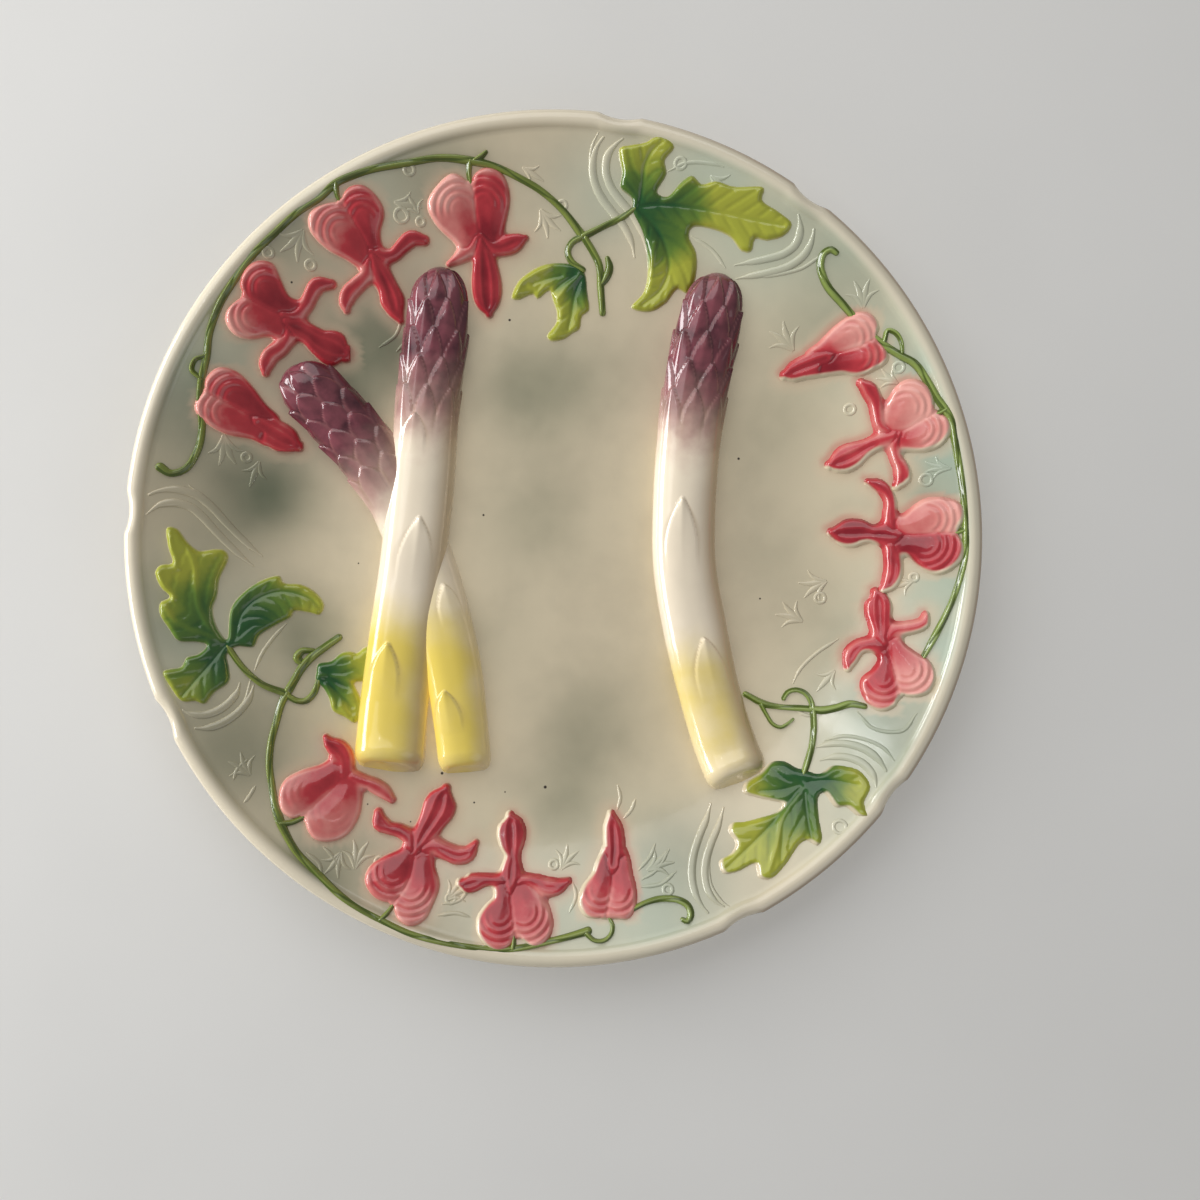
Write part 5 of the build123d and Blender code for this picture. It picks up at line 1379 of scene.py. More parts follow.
def leaf_field(name, points, height):
    """The field of a leaf: grooved veins, raised folds and rolled edges."""
    veins = LEAF_VEINS[name]
    base = np.array(veins["base"])
    span = max(math.dist(base, point) for point in points)
    shift = paint_shift(name)

    def field(places):
        reach = outline_reach(places, points)
        rise = round_over(reach, LEAF_EDGE, LEAF_SHARE * height)
        away = lengths(places - base) / span
        inside = reach > 0
        closest = np.full(len(places), np.inf)
        phase = np.zeros(len(places))
        for groove in veins["grooves"]:
            line = smooth(groove, LINE_STEP)
            gap, along = nearest(places, line)
            nearer = gap < closest
            closest = np.where(nearer, gap, closest)
            phase = np.where(nearer, along * LINE_STEP - SIDE_VEIN_SLANT * gap, phase)
        folds = np.zeros(len(places))
        for fold in veins["folds"]:
            gap, _ = nearest(places, smooth(fold, LINE_STEP))
            folds = np.maximum(folds, bell(gap, FOLD_WIDTH))
        vein = bell(closest, VEIN_WIDTH)
        side = np.cos(2 * math.pi * phase / SIDE_VEIN_SPACING)
        side = ease(SIDE_VEIN_START, 1, side) * ease(*SIDE_VEIN_FADE_IN, closest) * (1 - folds)
        puff = 1 - bell(closest, LEAF_PUFF_WIDTH)
        lift = LEAF_PUFF * puff + FOLD_RISE * folds - VEIN_DEPTH * vein - SIDE_VEIN_DEPTH * side
        rise = rise + np.where(inside, lift * ease(0, LEAF_EDGE, reach), 0)
        rim = bell(reach - LEAF_RIM, RIM_BAND)
        tone = LEAF_TONE_RISE * ease(*veins["fade"], away) + clouds(places, veins["pale"])
        tone = tone + LEAF_EDGE_TONE * (1 - ease(0, LEAF_EDGE_BAND, reach)) * away
        tone = tone + FOLD_TONE * folds + LEAF_RIM_TONE * rim - VEIN_TONE * vein - SIDE_VEIN_TONE * side
        paint = outline_reach(places - shift, points) if shift.any() else reach
        return {"height": rise, "tone": np.clip(tone, 0, 1), "paint": paint}

    return field


def headings(line):
    """Direction of a line at each of its samples."""
    run = np.gradient(line[:, :2], axis=0)
    return run / lengths(run)[:, None]


def sideways(course):
    """Directions square to a line's."""
    return np.column_stack([-course[:, 1], course[:, 0]])


def with_ends(line):
    """A strip's line with samples added for its round ends, and how full the section is at each."""
    course = headings(line)
    first = line[0, 2] / 2
    last = line[-1, 2] / 2
    shares = np.array(END_SHARES)
    start = np.repeat(line[:1], len(shares), axis=0)
    start[:, :2] -= course[:1] * (shares * first)[:, None]
    finish = np.repeat(line[-1:], len(shares), axis=0)
    finish[:, :2] += course[-1:] * (shares * last)[:, None]
    fullness = np.sqrt(1 - shares**2)
    full = np.concatenate([fullness, np.ones(len(line)), fullness[::-1]])
    turned = np.vstack([np.repeat(course[:1], len(shares), axis=0), course])
    turned = np.vstack([turned, np.repeat(course[-1:], len(shares), axis=0)])
    return np.vstack([start, line, finish[::-1]]), full, turned


def rolled_grid(bm, along_count, around_count):
    """A flat grid whose vertices are told by their place along and around a roll."""
    made = bmesh.ops.create_grid(bm, x_segments=along_count - 1, y_segments=around_count, size=1)
    verts = made["verts"]
    flat = np.array([vert.co.xy for vert in verts])
    along = np.rint((flat[:, 0] + 1) / 2 * (along_count - 1)).astype(int)
    turn = (flat[:, 1] + 1) / 2 * 2 * math.pi
    return verts, along, turn


def tapered(points, offset=0.0):
    """A line beside given points, short of the lip, whose width dwindles towards both ends."""
    line = smooth(points, LINE_STEP)
    line[:, :2] += offset * sideways(headings(line))
    line = line[lengths(line) < BEAD_START - line[:, 2] / 2]
    share = np.linspace(0, 1, len(line))
    line[:, 2] *= TAPER_END + (1 - TAPER_END) * ease(0, TAPER, share) * ease(0, TAPER, 1 - share)
    return line


def add_rolled_strip(bm, points, rise, groove=0.0, closed=False):
    """Adds a closed round strip, half bedded in the plate's face, with a winding groove."""
    edge = bm.verts.layers.float.get("edge") or bm.verts.layers.float.new("edge")
    line = smooth(points, STRIP_STEP, closed)
    if closed:
        line = np.vstack([line, line[:1]])
        full = np.ones(len(line))
        course = headings(line)
    else:
        line, full, course = with_ends(line)
    verts, along, turn = rolled_grid(bm, len(line), STRIP_SIDES)
    aside = sideways(course)[along]
    half = (line[:, 2] / 2 * full)[along]
    lean = math.pi / 2 + GROOVE_SWAY * np.sin(along * STRIP_STEP / GROOVE_RUN)
    dent = groove * bell(turn - lean, GROOVE_WIDTH)
    places = line[along, :2] + aside * (half * (1 - dent) * np.cos(turn))[:, None]
    tall = rise * np.sqrt(line[along, 2] / line[:, 2].max()) * (1 - dent)
    lift = np.sin(turn) * np.where(np.sin(turn) > 0, tall, STRIP_SINK) * full[along]
    heights = face_at(places) + lift
    pooled = np.abs(np.cos(turn)) + dent / GROOVE_DEPTH
    for vert, place, height, dark in zip(verts, places, heights, pooled):
        vert.co = (*place, height)
        vert[edge] = dark
    bmesh.ops.remove_doubles(bm, verts=verts, dist=MERGE_DISTANCE)


def rolled_piece(name, strips, rise, groove, material):
    """One piece of round strips."""
    bm = bmesh.new()
    for points in strips:
        add_rolled_strip(bm, points, rise, groove)
    return mesh_object(bm, name, material)


def spear_scales(name, half):
    """Scales of a spear from its tip: place along, turn, length, half width, point and step."""
    scales = []
    count, rows, row_step, point = HEAD_SHAPES.get(name, NO_HEAD)
    for row in range(rows):
        for place in range(count):
            turn = 2 * math.pi * (place + row % 2 / 2) / count
            wide = HEAD_SCALE_FILL * math.pi / count * half
            share = 1 - HEAD_FADE * row / rows
            start = HEAD_START + row_step * row
            scales.append((start, turn, HEAD_SCALE_ROWS * row_step, wide, point, share))
    for start, turn, reach, wide in SHAFT_BRACTS[name]:
        scales.append((start, turn, reach, wide, BRACT_POINT, BRACT_STEP_SHARE))
    return scales


def spear_relief(name, along, turn, half, step):
    """Rise of the scales over a spear's skin, with the marks for their edges and hollows."""
    rise = np.zeros(len(along))
    edge = np.zeros(len(along))
    hollow_and_flank_shade = np.zeros(len(along))
    for start, place, length, wide, point, share in spear_scales(name, half):
        reach = (along - start) / length
        shape = np.sin(np.clip(reach / point, 0, 1) * math.pi / 2) ** OGIVE_POWER
        gap = np.abs((turn - place + math.pi) % (2 * math.pi) - math.pi) * half
        inside = 1 - gap / np.maximum(wide * shape, SMALL)
        inside = np.where((reach > 0) & (reach < 1), inside, -1)
        blend = ease(0, SCALE_SOFTNESS, inside)
        tall = step * share * (1 - reach) * (1 + SCALE_RIB * bell(gap, SCALE_RIB_WIDTH))
        tall = tall + SCALE_PILLOW * step * share * ease(0, 1, inside) * (1 - reach)
        rise = rise * (1 - blend) + tall * blend
        line = bell(inside - SCALE_LINE, SCALE_LINE_WIDTH) * share * (1 - reach)
        edge = np.maximum(edge * (1 - blend), line)
        dark = ease(-HOLLOW_REACH, 0, inside) * (inside < 0) * share * (1 - reach)
        hollow_and_flank_shade = np.maximum(hollow_and_flank_shade * (1 - blend), dark)
    return rise, edge, hollow_and_flank_shade


def spear_course(name, route):
    """Samples of a spear from tip to butt, with its course, its run and half its width at each."""
    line = smooth(route, SPEAR_STEP)
    course = headings(line)
    if name in HEAD_SHAPES:
        line, _, course = with_ends(line)
        line = line[:-len(END_SHARES)]
        course = course[:-len(END_SHARES)]
    run = np.concatenate([[0], np.cumsum(lengths(np.diff(line, axis=0)))])
    halves = line[:, 2] / 2
    if name in HEAD_SHAPES:
        tip = round_over(run, TIP_LENGTH, np.interp(TIP_LENGTH, run, halves))
        halves = np.where(run < TIP_LENGTH, tip, halves)
    return line, course, run, halves


def spear_marks(name, run, left, turn, edge, hollow_and_flank_shade):
    """Marks for the glaze over a spear, from its run to the tip and what is left to the butt."""
    purple = 1 - np.interp(run, PURPLE_FADE, (0, 1)) if name in HEAD_SHAPES else 0 * left
    lemon = np.interp(left, *LEMON_BANDS[name])
    lemon = lemon * (1 - LEMON_SIDE * ease(*LEMON_SIDE_FADE, np.sin(turn)))
    # Painted shade down the right flank, away from the window light, joins the hollows' mark
    hollow_and_flank_shade = np.maximum(hollow_and_flank_shade, FLANK_SHADE_SHARES[name] * ease(*FLANK_SHADE_FADE, np.sin(turn)))
    return {"purple": purple, "lemon": lemon, "edge": edge, "hollow_and_flank_shade": hollow_and_flank_shade}


def close_spear(bm, verts, name, material):
    """Joins a spear's seam, fills its flat ends and makes its piece."""
    bmesh.ops.remove_doubles(bm, verts=verts, dist=MERGE_DISTANCE)
    rims = [item for item in bm.edges if item.is_boundary]
    bmesh.ops.holes_fill(bm, edges=rims, sides=0)
    piece = mesh_object(bm, name + PIECE_ENDING, material)
    for polygon in piece.data.polygons:
        if len(polygon.vertices) > CAP_SIDES:
            polygon.use_smooth = False
    return piece


def spear_piece(name, route, step, material):
    """A spear: a round shaft bedded in the plate, with overlapping scales on its head."""
    line, course, run, halves = spear_course(name, route)
    bm = bmesh.new()
    layers = {key: bm.verts.layers.float.new(key) for key in SPEAR_MARKS}
    verts, along, turn = rolled_grid(bm, len(line), SPEAR_SIDES)
    half = halves[along]
    rise, edge, hollow_and_flank_shade = spear_relief(name, run[along], turn, half, step)
    rise = rise * ease(0, HEAD_FULL_HALF, half) * ease(*SCALE_SIDE_FADE, np.cos(turn))
    left = run[-1] - run[along]
    radius = (half + rise) * (1 - BUTT_ROUND + round_over(left, BUTT_BAND, BUTT_ROUND))
    square = np.abs(np.sin(turn)) ** SPEAR_SQUARENESS + np.abs(np.cos(turn)) ** SPEAR_SQUARENESS
    radius = radius * square ** (-1 / SPEAR_SQUARENESS)
    aside = sideways(course)[along]
    places = line[along, :2] + aside * (radius * np.sin(turn))[:, None]
    centre = face_at(line)[along] + SPEAR_LIFT_SHARE * half
    if name in CROSSED_SPEARS:
        crossing = lengths(line[along, :2] - SPEAR_CROSSING)
        centre = centre - CROSSING_DIP * bell(crossing, CROSSING_WIDTH)
    above = radius * np.cos(turn) * SPEAR_FLATNESS
    if name not in UNCUT_SPEARS:
        lean = math.tan(SPEAR_CUT_TILT) * (1 - ease(0, CUT_BAND, left))
        places = places - course[along] * (above * lean)[:, None]
    heights = np.maximum(centre + above, face_at(places) - SPEAR_BED)
    for vert, place, height in zip(verts, places, heights):
        vert.co = (*place, height)
    marks = spear_marks(name, run[along], left, turn, edge, hollow_and_flank_shade)
    for key, layer in layers.items():
        for vert, value in zip(verts, marks[key]):
            vert[layer] = value
    return close_spear(bm, verts, name, material)


def plate_section(lip_rise):
    """The plate's section from the middle of its face, over the lip, to the middle of its underside."""
    radii = np.linspace(0, BEAD_START, int(BEAD_START / FACE_STEP))
    section = list(zip(radii, face_height(radii)))
    brim_z = float(face_height(np.array(LIP_START))) - BEAD_DROP
    start_z = float(face_height(np.array(BEAD_START)))
    chord = Vector((PLATE_RADIUS - BEAD_START, brim_z - start_z))
    middle = Vector((BEAD_START, start_z)) + chord / 2
    up = Vector((-chord.y, chord.x)).normalized()
    roll = (chord.length**2 / 4 + lip_rise**2) / (2 * lip_rise)
    swing = math.asin(chord.length / 2 / roll)
    for turn in np.linspace(-swing, swing, LIP_STEPS)[1:]:
        place = middle + chord.normalized() * roll * math.sin(turn)
        place = place + up * (lip_rise - roll + roll * math.cos(turn))
        section.append(tuple(place))
    under_radius = BEND_RADIUS + BODY_THICKNESS
    under_end = WELL_RADIUS + under_radius * math.sin(RIM_SLOPE)
    under_end_z = WELL_Z + BEND_RADIUS - under_radius * math.cos(RIM_SLOPE)
    under_lip_z = under_end_z + (LIP_START - under_end) * math.tan(RIM_SLOPE)
    drop = brim_z - under_lip_z
    for share in np.linspace(0, 1, LIP_STEPS)[1:]:
        section.append((PLATE_RADIUS - LIP_WIDTH * share**2, brim_z - drop * share))
    for radius in np.linspace(LIP_START, under_end, UNDER_STEPS)[1:]:
        section.append((radius, under_lip_z - (LIP_START - radius) * math.tan(RIM_SLOPE)))
    foot_outer = FOOT_RADIUS + FOOT_WIDTH / 2
    foot_inner = FOOT_RADIUS - FOOT_WIDTH / 2
    for radius in np.linspace(under_end, foot_outer + FOOT_DRAFT, UNDER_STEPS)[1:]:
        bow = math.sqrt(under_radius**2 - (radius - WELL_RADIUS) ** 2)
        section.append((radius, WELL_Z + BEND_RADIUS - bow))
    section += [
        (foot_outer + FOOT_ROUND, FOOT_ROUND), (foot_outer, FOOT_CORNER), (foot_outer - FOOT_ROUND, 0),
        (foot_inner + FOOT_ROUND, 0), (foot_inner, FOOT_CORNER), (foot_inner - FOOT_ROUND, FOOT_ROUND),
        (foot_inner - FOOT_DRAFT, FOOT_HEIGHT),
    ]
    for radius in np.linspace(foot_inner - FOOT_DRAFT, 0, UNDER_STEPS)[1:]:
        section.append((radius, FOOT_HEIGHT))
    return section


def notch_shift(angles, depth):
    """How far the edge steps in at angles round the plate."""
    shift = np.zeros(len(angles))
    for degrees in NOTCH_ANGLES_DEG:
        off = (angles - math.radians(degrees) + math.pi) % (2 * math.pi) - math.pi
        aside = np.clip(PLATE_RADIUS * off, -NOTCH_RADIUS, NOTCH_RADIUS)
        shift = np.maximum(shift, depth - NOTCH_RADIUS + np.sqrt(NOTCH_RADIUS**2 - aside**2))
    return shift


def clouds(places, patches):
    """Soft patches over the plate, joined without adding up."""
    clear = np.ones(len(places))
    for x, y, radius, strength in patches:
        clear *= 1 - strength * bell(lengths(places - (x, y)), CLOUD_SPREAD * radius)
    return 1 - clear


def body_marks(places):
    """Marks for the glaze over the plate's body."""
    radius = lengths(places)
    flat = places[:, :2]
    upper = places[:, 2] > face_height(radius) - FACE_TEST
    spill = np.full(len(places), FAR_OUT)
    warm = np.full(len(places), FAR_OUT)
    for name in FLOWER_LOBES:
        near = upper & close_by(flat, flower_points(name), WARM_REACH)
        spill[near] = np.maximum(spill[near], flower_reach(flat[near] - paint_shift(name), name))
        warm[near] = np.maximum(warm[near], flower_reach(flat[near], name))
    bare = (places[:, 2] < FOOT_WEAR) * 1.0
    for degrees in SPUR_ANGLES_DEG:
        angle = math.radians(degrees)
        spur = SPUR_CIRCLE * np.array((math.cos(angle), math.sin(angle)))
        gap = lengths(flat - spur)
        bare = np.maximum(bare, ~upper * ease(SPUR_FADE_RADIUS, SPUR_RADIUS, gap))
    return {
        "sage": np.where(upper, clouds(flat, SAGE_CLOUDS), UNDER_SAGE),
        "turquoise": np.where(upper, clouds(flat, TURQUOISE_CLOUDS), 0),
        "warm": ease(-WARM_REACH, 0, warm),
        "spill": ease(-SPILL_REACH, SPILL_REACH, spill),
        "lip": ease(BEAD_START, LIP_START, radius),
        # Painted shade on the outer lip edge, at the plate's right only
        "right_edge_shade": ease(*RIGHT_EDGE_SHADE_BAND, radius) * ease(*RIGHT_EDGE_SHADE_SIDE, flat[:, 0]),
        "bare": bare,
    }


def plate_piece(sizes, material):
    """The plate's body, turned from its section and notched at the edge."""
    bm = bmesh.new()
    section = plate_section(sizes.lip_rise / MM)
    verts = [bm.verts.new((radius, 0, height)) for radius, height in section]
    edges = [bm.edges.new(pair) for pair in zip(verts, verts[1:])]
    bmesh.ops.spin(
        bm, geom=verts + edges, cent=(0, 0, 0), axis=(0, 0, 1), angle=2 * math.pi, steps=TURN_STEPS,
        use_merge=True,
    )
    bmesh.ops.remove_doubles(bm, verts=bm.verts, dist=MERGE_DISTANCE)
    piece = mesh_object(bm, "plate_body" + PIECE_ENDING, material)
    places = vertex_places(piece.data)
    radius = lengths(places)
    angle = np.arctan2(places[:, 1], places[:, 0])
    shift = notch_shift(angle, sizes.notch_depth / MM)
    shift = shift * ease(PLATE_RADIUS - NOTCH_BAND, PLATE_RADIUS, radius)
    places[:, :2] *= (1 - shift / np.maximum(radius, SMALL))[:, None]
    set_vertex_places(piece.data, places)
    set_marks(piece.data, body_marks(places))
    return piece


class Glaze:
    """A glaze material while its nodes are laid out."""

    def __init__(self, name):
        self.material = bpy.data.materials.new(name)
        self.material.use_nodes = True
        self.tree = self.material.node_tree
        self.shader = self.tree.nodes["Principled BSDF"]
        self.places = self.node("ShaderNodeTexCoord").outputs["Object"]

    def node(self, kind, **settings):
        """A new node with its settings."""
        made = self.tree.nodes.new(kind)
        for key, value in settings.items():
            setattr(made, key, value)
        return made

    def join(self, source, socket):
        """Links a socket to another, or sets its value."""
        if isinstance(source, bpy.types.NodeSocket):
            self.tree.links.new(source, socket)
        else:
            socket.default_value = source

    def mark(self, name):
        """A value stored on the piece's vertices."""
        return self.node("ShaderNodeAttribute", attribute_name=name).outputs["Fac"]

    def noise(self, scale, detail):
        """Soft mottling over the piece, from 0 to 1."""
        made = self.node("ShaderNodeTexNoise")
        self.join(self.places, made.inputs["Vector"])
        self.join(scale, made.inputs["Scale"])
        self.join(detail, made.inputs["Detail"])
        return made.outputs["Fac"]

    def sum(self, operation, first, second):
        """One sum of two values."""
        made = self.node("ShaderNodeMath", operation=operation)
        self.join(first, made.inputs[0])
        self.join(second, made.inputs[1])
        return made.outputs[0]

    def span(self, value, low, high, start=0.0, end=1.0):
        """A value taken from one range to another, and held at its ends."""
        made = self.node("ShaderNodeMapRange", interpolation_type="SMOOTHSTEP")
        for socket, source in zip(made.inputs, (value, low, high, start, end)):
            self.join(source, socket)
        return made.outputs[0]

    def mix(self, share, first, second):
        """Two colours mixed by a share."""
        made = self.node("ShaderNodeMix", data_type="RGBA")
        self.join(share, made.inputs[0])
        for socket, source in zip(made.inputs[MIX_COLOURS], (first, second)):
            self.join(source if isinstance(source, bpy.types.NodeSocket) else (*source, 1), socket)
        return made.outputs[MIX_RESULT]

    def ramp(self, value, stops):
        """A run of colours along a value."""
        made = self.node("ShaderNodeValToRGB")
        self.join(value, made.inputs[0])
        elements = made.color_ramp.elements
        while len(elements) < len(stops):
            elements.new(1.0)
        for element, (place, colour) in zip(elements, stops):
            element.position = place
            element.color = (*colour, 1)
        return made.outputs[0]

    def finish(self, colour, roughness, ripple):
        """The glassy top of a glaze over its colour."""
        self.join(colour, self.shader.inputs["Base Color"])
        ends = [roughness * share for share in UNEVEN_SHARES]
        uneven = self.span(self.noise(*UNEVEN_NOISE), *UNEVEN_SPAN, *ends)
        self.join(uneven, self.shader.inputs["Roughness"])
        self.shader.inputs["IOR"].default_value = GLAZE_IOR
        self.shader.inputs["Coat Weight"].default_value = GLAZE_COAT
        self.shader.inputs["Coat Roughness"].default_value = GLAZE_COAT_ROUGHNESS
        bump = self.node("ShaderNodeBump")
        self.join(ripple, bump.inputs["Strength"])
        self.join(RIPPLE_DEPTH, bump.inputs["Distance"])
        self.join(self.noise(*RIPPLE_NOISE), bump.inputs["Height"])
        self.join(bump.outputs["Normal"], self.shader.inputs["Normal"])
        return self.material


def cream_ground(glaze, colours):
    """Cream glaze with faint mottling."""
    deeper = tuple(part * CREAM_DEEPER for part in colours.cream)
    return glaze.mix(glaze.span(glaze.noise(*CREAM_NOISE), *CREAM_SPAN), colours.cream, deeper)


def cream_glaze(colours):
    """Ground glaze of the plate: cream with pooled clouds, washes, specks and bare clay."""
    glaze = Glaze(GROUND_NAME)
    colour = cream_ground(glaze, colours)
    drift = glaze.span(glaze.noise(*WASH_NOISE), *WASH_SPAN, *WASH_SHARES)
    washes = [
        ("turquoise", drift, colours.turquoise), ("sage", drift, colours.sage),
        ("warm", WARM_SHARE, colours.blush), ("spill", SPILL_SHARE, colours.rose),
        # The last wash is painted shade on the lip edge at the plate's right
        ("lip", LIP_SHARE, colours.lip), ("right_edge_shade", RIGHT_EDGE_SHADE_SHARE, colours.right_edge_shade),
    ]
    for mark, share, wash in washes:
        colour = glaze.mix(glaze.sum("MULTIPLY", glaze.mark(mark), share), colour, wash)
    spots = 0.0
    for x, y, radius in SPECKS:
        gap = glaze.node("ShaderNodeVectorMath", operation="DISTANCE")
        glaze.join(glaze.places, gap.inputs[0])
        height = float(face_height(np.array(math.hypot(x, y))))
        glaze.join((x * MM, y * MM, height * MM), gap.inputs[1])
        edges = [radius * MM * share for share in SPECK_SPAN]
        spot = glaze.span(gap.outputs["Value"], *edges, 1.0, 0.0)
        spots = glaze.sum("MAXIMUM", spot, spots)
    colour = glaze.mix(spots, colour, colours.speck)
    colour = glaze.mix(glaze.mark("bare"), colour, colours.biscuit)
    return glaze.finish(colour, *CREAM_FINISH)


def spear_glaze(colours):
    """Purple heads, ivory shafts and lemon butts, paler on the scales' edges, with painted shade down each
    spear's right flank.
    """
    glaze = Glaze("Spear glaze")
    drift = glaze.span(glaze.noise(*DRIFT_NOISE), *DRIFT_SPAN, -DRIFT_REACH, DRIFT_REACH)
    deeper = tuple(part * CREAM_DEEPER for part in colours.ivory)
    shaft = glaze.mix(glaze.span(glaze.noise(*SHAFT_NOISE), *SHAFT_SPAN), colours.ivory, deeper)
    lemon = glaze.span(glaze.sum("ADD", glaze.mark("lemon"), drift), *LEMON_SPAN, 0.0, LEMON_SHARE)
    colour = glaze.mix(lemon, shaft, colours.lemon)
    mottle = glaze.span(glaze.noise(*MOTTLE_NOISE), *MOTTLE_SPAN)
    violet = glaze.mix(mottle, colours.purple, colours.purple_dark)
    head = glaze.sum("ADD", glaze.mark("purple"), drift)
    blush = glaze.span(head, *BLUSH_SPAN, 0.0, BLUSH_SHARE)
    purple = glaze.span(head, *PURPLE_SPAN)
    colour = glaze.mix(purple, glaze.mix(blush, colour, colours.mauve), violet)
    # Dark glaze for the hollows and for the painted shade down the right flank: tan on the shaft, dark
    # purple on the head
    dark = glaze.mix(purple, colours.tan, colours.purple_dark)
    pale = glaze.mix(purple, colours.ivory, colours.mauve)
    colour = glaze.mix(glaze.sum("MULTIPLY", glaze.mark("hollow_and_flank_shade"), HOLLOW_AND_FLANK_SHADE_SHARE), colour, dark)
    colour = glaze.mix(glaze.sum("MULTIPLY", glaze.mark("edge"), EDGE_SHARE), colour, pale)
    return glaze.finish(colour, *SPEAR_FINISH)


def stem_glaze(colours):
    """Olive glaze that pools darkly along the sides of the stems, with painted light that makes it paler
    towards the plate's right.
    """
    glaze = Glaze("Stem glaze")
    pooled = glaze.span(glaze.mark("edge"), *POOLED_SPAN)
    patchy = glaze.span(glaze.noise(*PATCHY_NOISE), *PATCHY_SPAN, 0.0, PATCHY_SHARE)
    axes = glaze.node("ShaderNodeSeparateXYZ")
    glaze.join(glaze.places, axes.inputs[0])
    # Painted light: paler towards the plate's right, darker on its shaded left
    thin = glaze.mix(glaze.span(axes.outputs["X"], *STEM_PAINTED_LIGHT_SPAN), colours.stem, colours.stem_painted_light)
    colour = glaze.mix(glaze.sum("MAXIMUM", pooled, patchy), thin, colours.stem_dark)
    return glaze.finish(colour, *STEM_FINISH)


def painted_glaze(name, colours, stops, noise):
    """A coloured glaze that is thin on ridges, and lies a little off its relief on the cream ground."""
    glaze = Glaze(name)
    mottle = glaze.span(glaze.noise(*noise), *PAINT_SPAN, -PAINT_MOTTLE, PAINT_MOTTLE)
    colour = glaze.ramp(glaze.sum("ADD", glaze.mark("tone"), mottle), stops)
    ground = cream_ground(glaze, colours)
    painted = glaze.span(glaze.mark("paint"), -PAINT_EDGE, PAINT_EDGE)
    return glaze.finish(glaze.mix(painted, ground, colour), *PAINTED_FINISH)


def leaf_glaze(colours):
    """Deep green in the middle of a leaf to yellow green at its tips."""
    stops = list(zip(LEAF_STOPS, (colours.leaf_deep, colours.leaf_mid, colours.leaf_light)))
    return painted_glaze("Leaf glaze", colours, stops, LEAF_NOISE)


def flower_glaze(colours):
    """Crimson in the hollows of a flower to pale pink on its ridges."""
    stops = list(zip(FLOWER_STOPS, (colours.crimson, colours.rose, colours.pink)))
    return painted_glaze("Flower glaze", colours, stops, FLOWER_NOISE)


class PLATE_OT_body(bpy.types.Operator):
    """Turn and glaze the plate's body"""

    bl_idname = "asparagus_plate.body"
    bl_label = "Plate body"

    def execute(self, context):
        piece = plate_piece(context.scene.plate_sizes, cream_glaze(context.scene.plate_glazes))
        hand_in(piece, "cream_glaze", "plate_body")
        return {"FINISHED"}


def ring_points(x, y, radius, width):
    """A closed ring of points with a width."""
    turns = np.arange(RING_POINTS) * 2 * math.pi / RING_POINTS
    return [(x + radius * math.cos(turn), y + radius * math.sin(turn), width) for turn in turns]


def spray_leaves(x, y, heading, spread, leaves, length):
    """The slender leaves of a spray, which bow apart and are longest in the middle."""
    strips = []
    for side in np.linspace(-1, 1, leaves):
        course = math.radians(heading + side * spread / 2)
        place = Matrix.Translation((x, y, 0)) @ Matrix.Rotation(course, 4, "Z")
        reach = length * (1 - SPRAY_SIDE_FALL * abs(side))
        strip = []
        for along, aside, wide in SPRAY_LEAF:
            spot = place @ Vector((along * reach, -aside * reach * side, 0))
            strip.append((spot.x, spot.y, wide * reach))
        strips.append(strip)
    return strips


def add_tracery(bm, rise, width):
    """Adds the fine lines, rings and sprays of the rim."""
    for points in TRACERY:
        add_rolled_strip(bm, tapered([(x, y, width) for x, y in points]), rise)
    for ring in TRACERY_RINGS:
        add_rolled_strip(bm, ring_points(*ring, width), rise, closed=True)
    for spray in SPRAYS:
        for leaf in spray_leaves(*spray):
            add_rolled_strip(bm, leaf, rise)


class PLATE_OT_scrolls(bpy.types.Operator):
    """Lay the scrolls and the fine tracery on the rim"""

    bl_idname = "asparagus_plate.scrolls"
    bl_label = "Scrolls and tracery"

    def execute(self, context):
        sizes = context.scene.plate_sizes
        material = bpy.data.materials.get(GROUND_NAME) or cream_glaze(context.scene.plate_glazes)
        for name, points in SCROLLS.items():
            ridges = [tapered(points, offset) for offset in SCROLL_OFFSETS]
            piece = rolled_piece(name + PIECE_ENDING, ridges, sizes.scroll_height / MM, 0.0, material)
            set_marks(piece.data, body_marks(vertex_places(piece.data)))
            hand_in(piece, "cream_glaze", name)
        bm = bmesh.new()
        add_tracery(bm, sizes.tracery_height / MM, sizes.tracery_width / MM)
        piece = mesh_object(bm, "rim_tracery", material)
        set_marks(piece.data, body_marks(vertex_places(piece.data)))
        hand_in(piece, "cream_glaze")
        return {"FINISHED"}


class PLATE_OT_spears(bpy.types.Operator):
    """Lay the asparagus spears in the plate"""

    bl_idname = "asparagus_plate.spears"
    bl_label = "Asparagus spears"

    def execute(self, context):
        material = spear_glaze(context.scene.plate_glazes)
        for name, route in SPEARS.items():
            piece = spear_piece(name, route, context.scene.plate_sizes.scale_step / MM, material)
            hand_in(piece, "spear_glaze", name)
        return {"FINISHED"}


class PLATE_OT_stems(bpy.types.Operator):
    """Lay the garlands' stems and the leaves' twigs"""

    bl_idname = "asparagus_plate.stems"
    bl_label = "Stems and twigs"

    def execute(self, context):
        material = stem_glaze(context.scene.plate_glazes)
        rise = context.scene.plate_sizes.stem_height / MM
        for name, strips in STEMS.items():
            slim = [[(x, y, STEM_WIDTH_SHARE * width) for x, y, width in points] for points in strips]
            piece = rolled_piece(name + PIECE_ENDING, slim, rise, GROOVE_DEPTH, material)
            hand_in(piece, "stem_glaze", name)
        return {"FINISHED"}


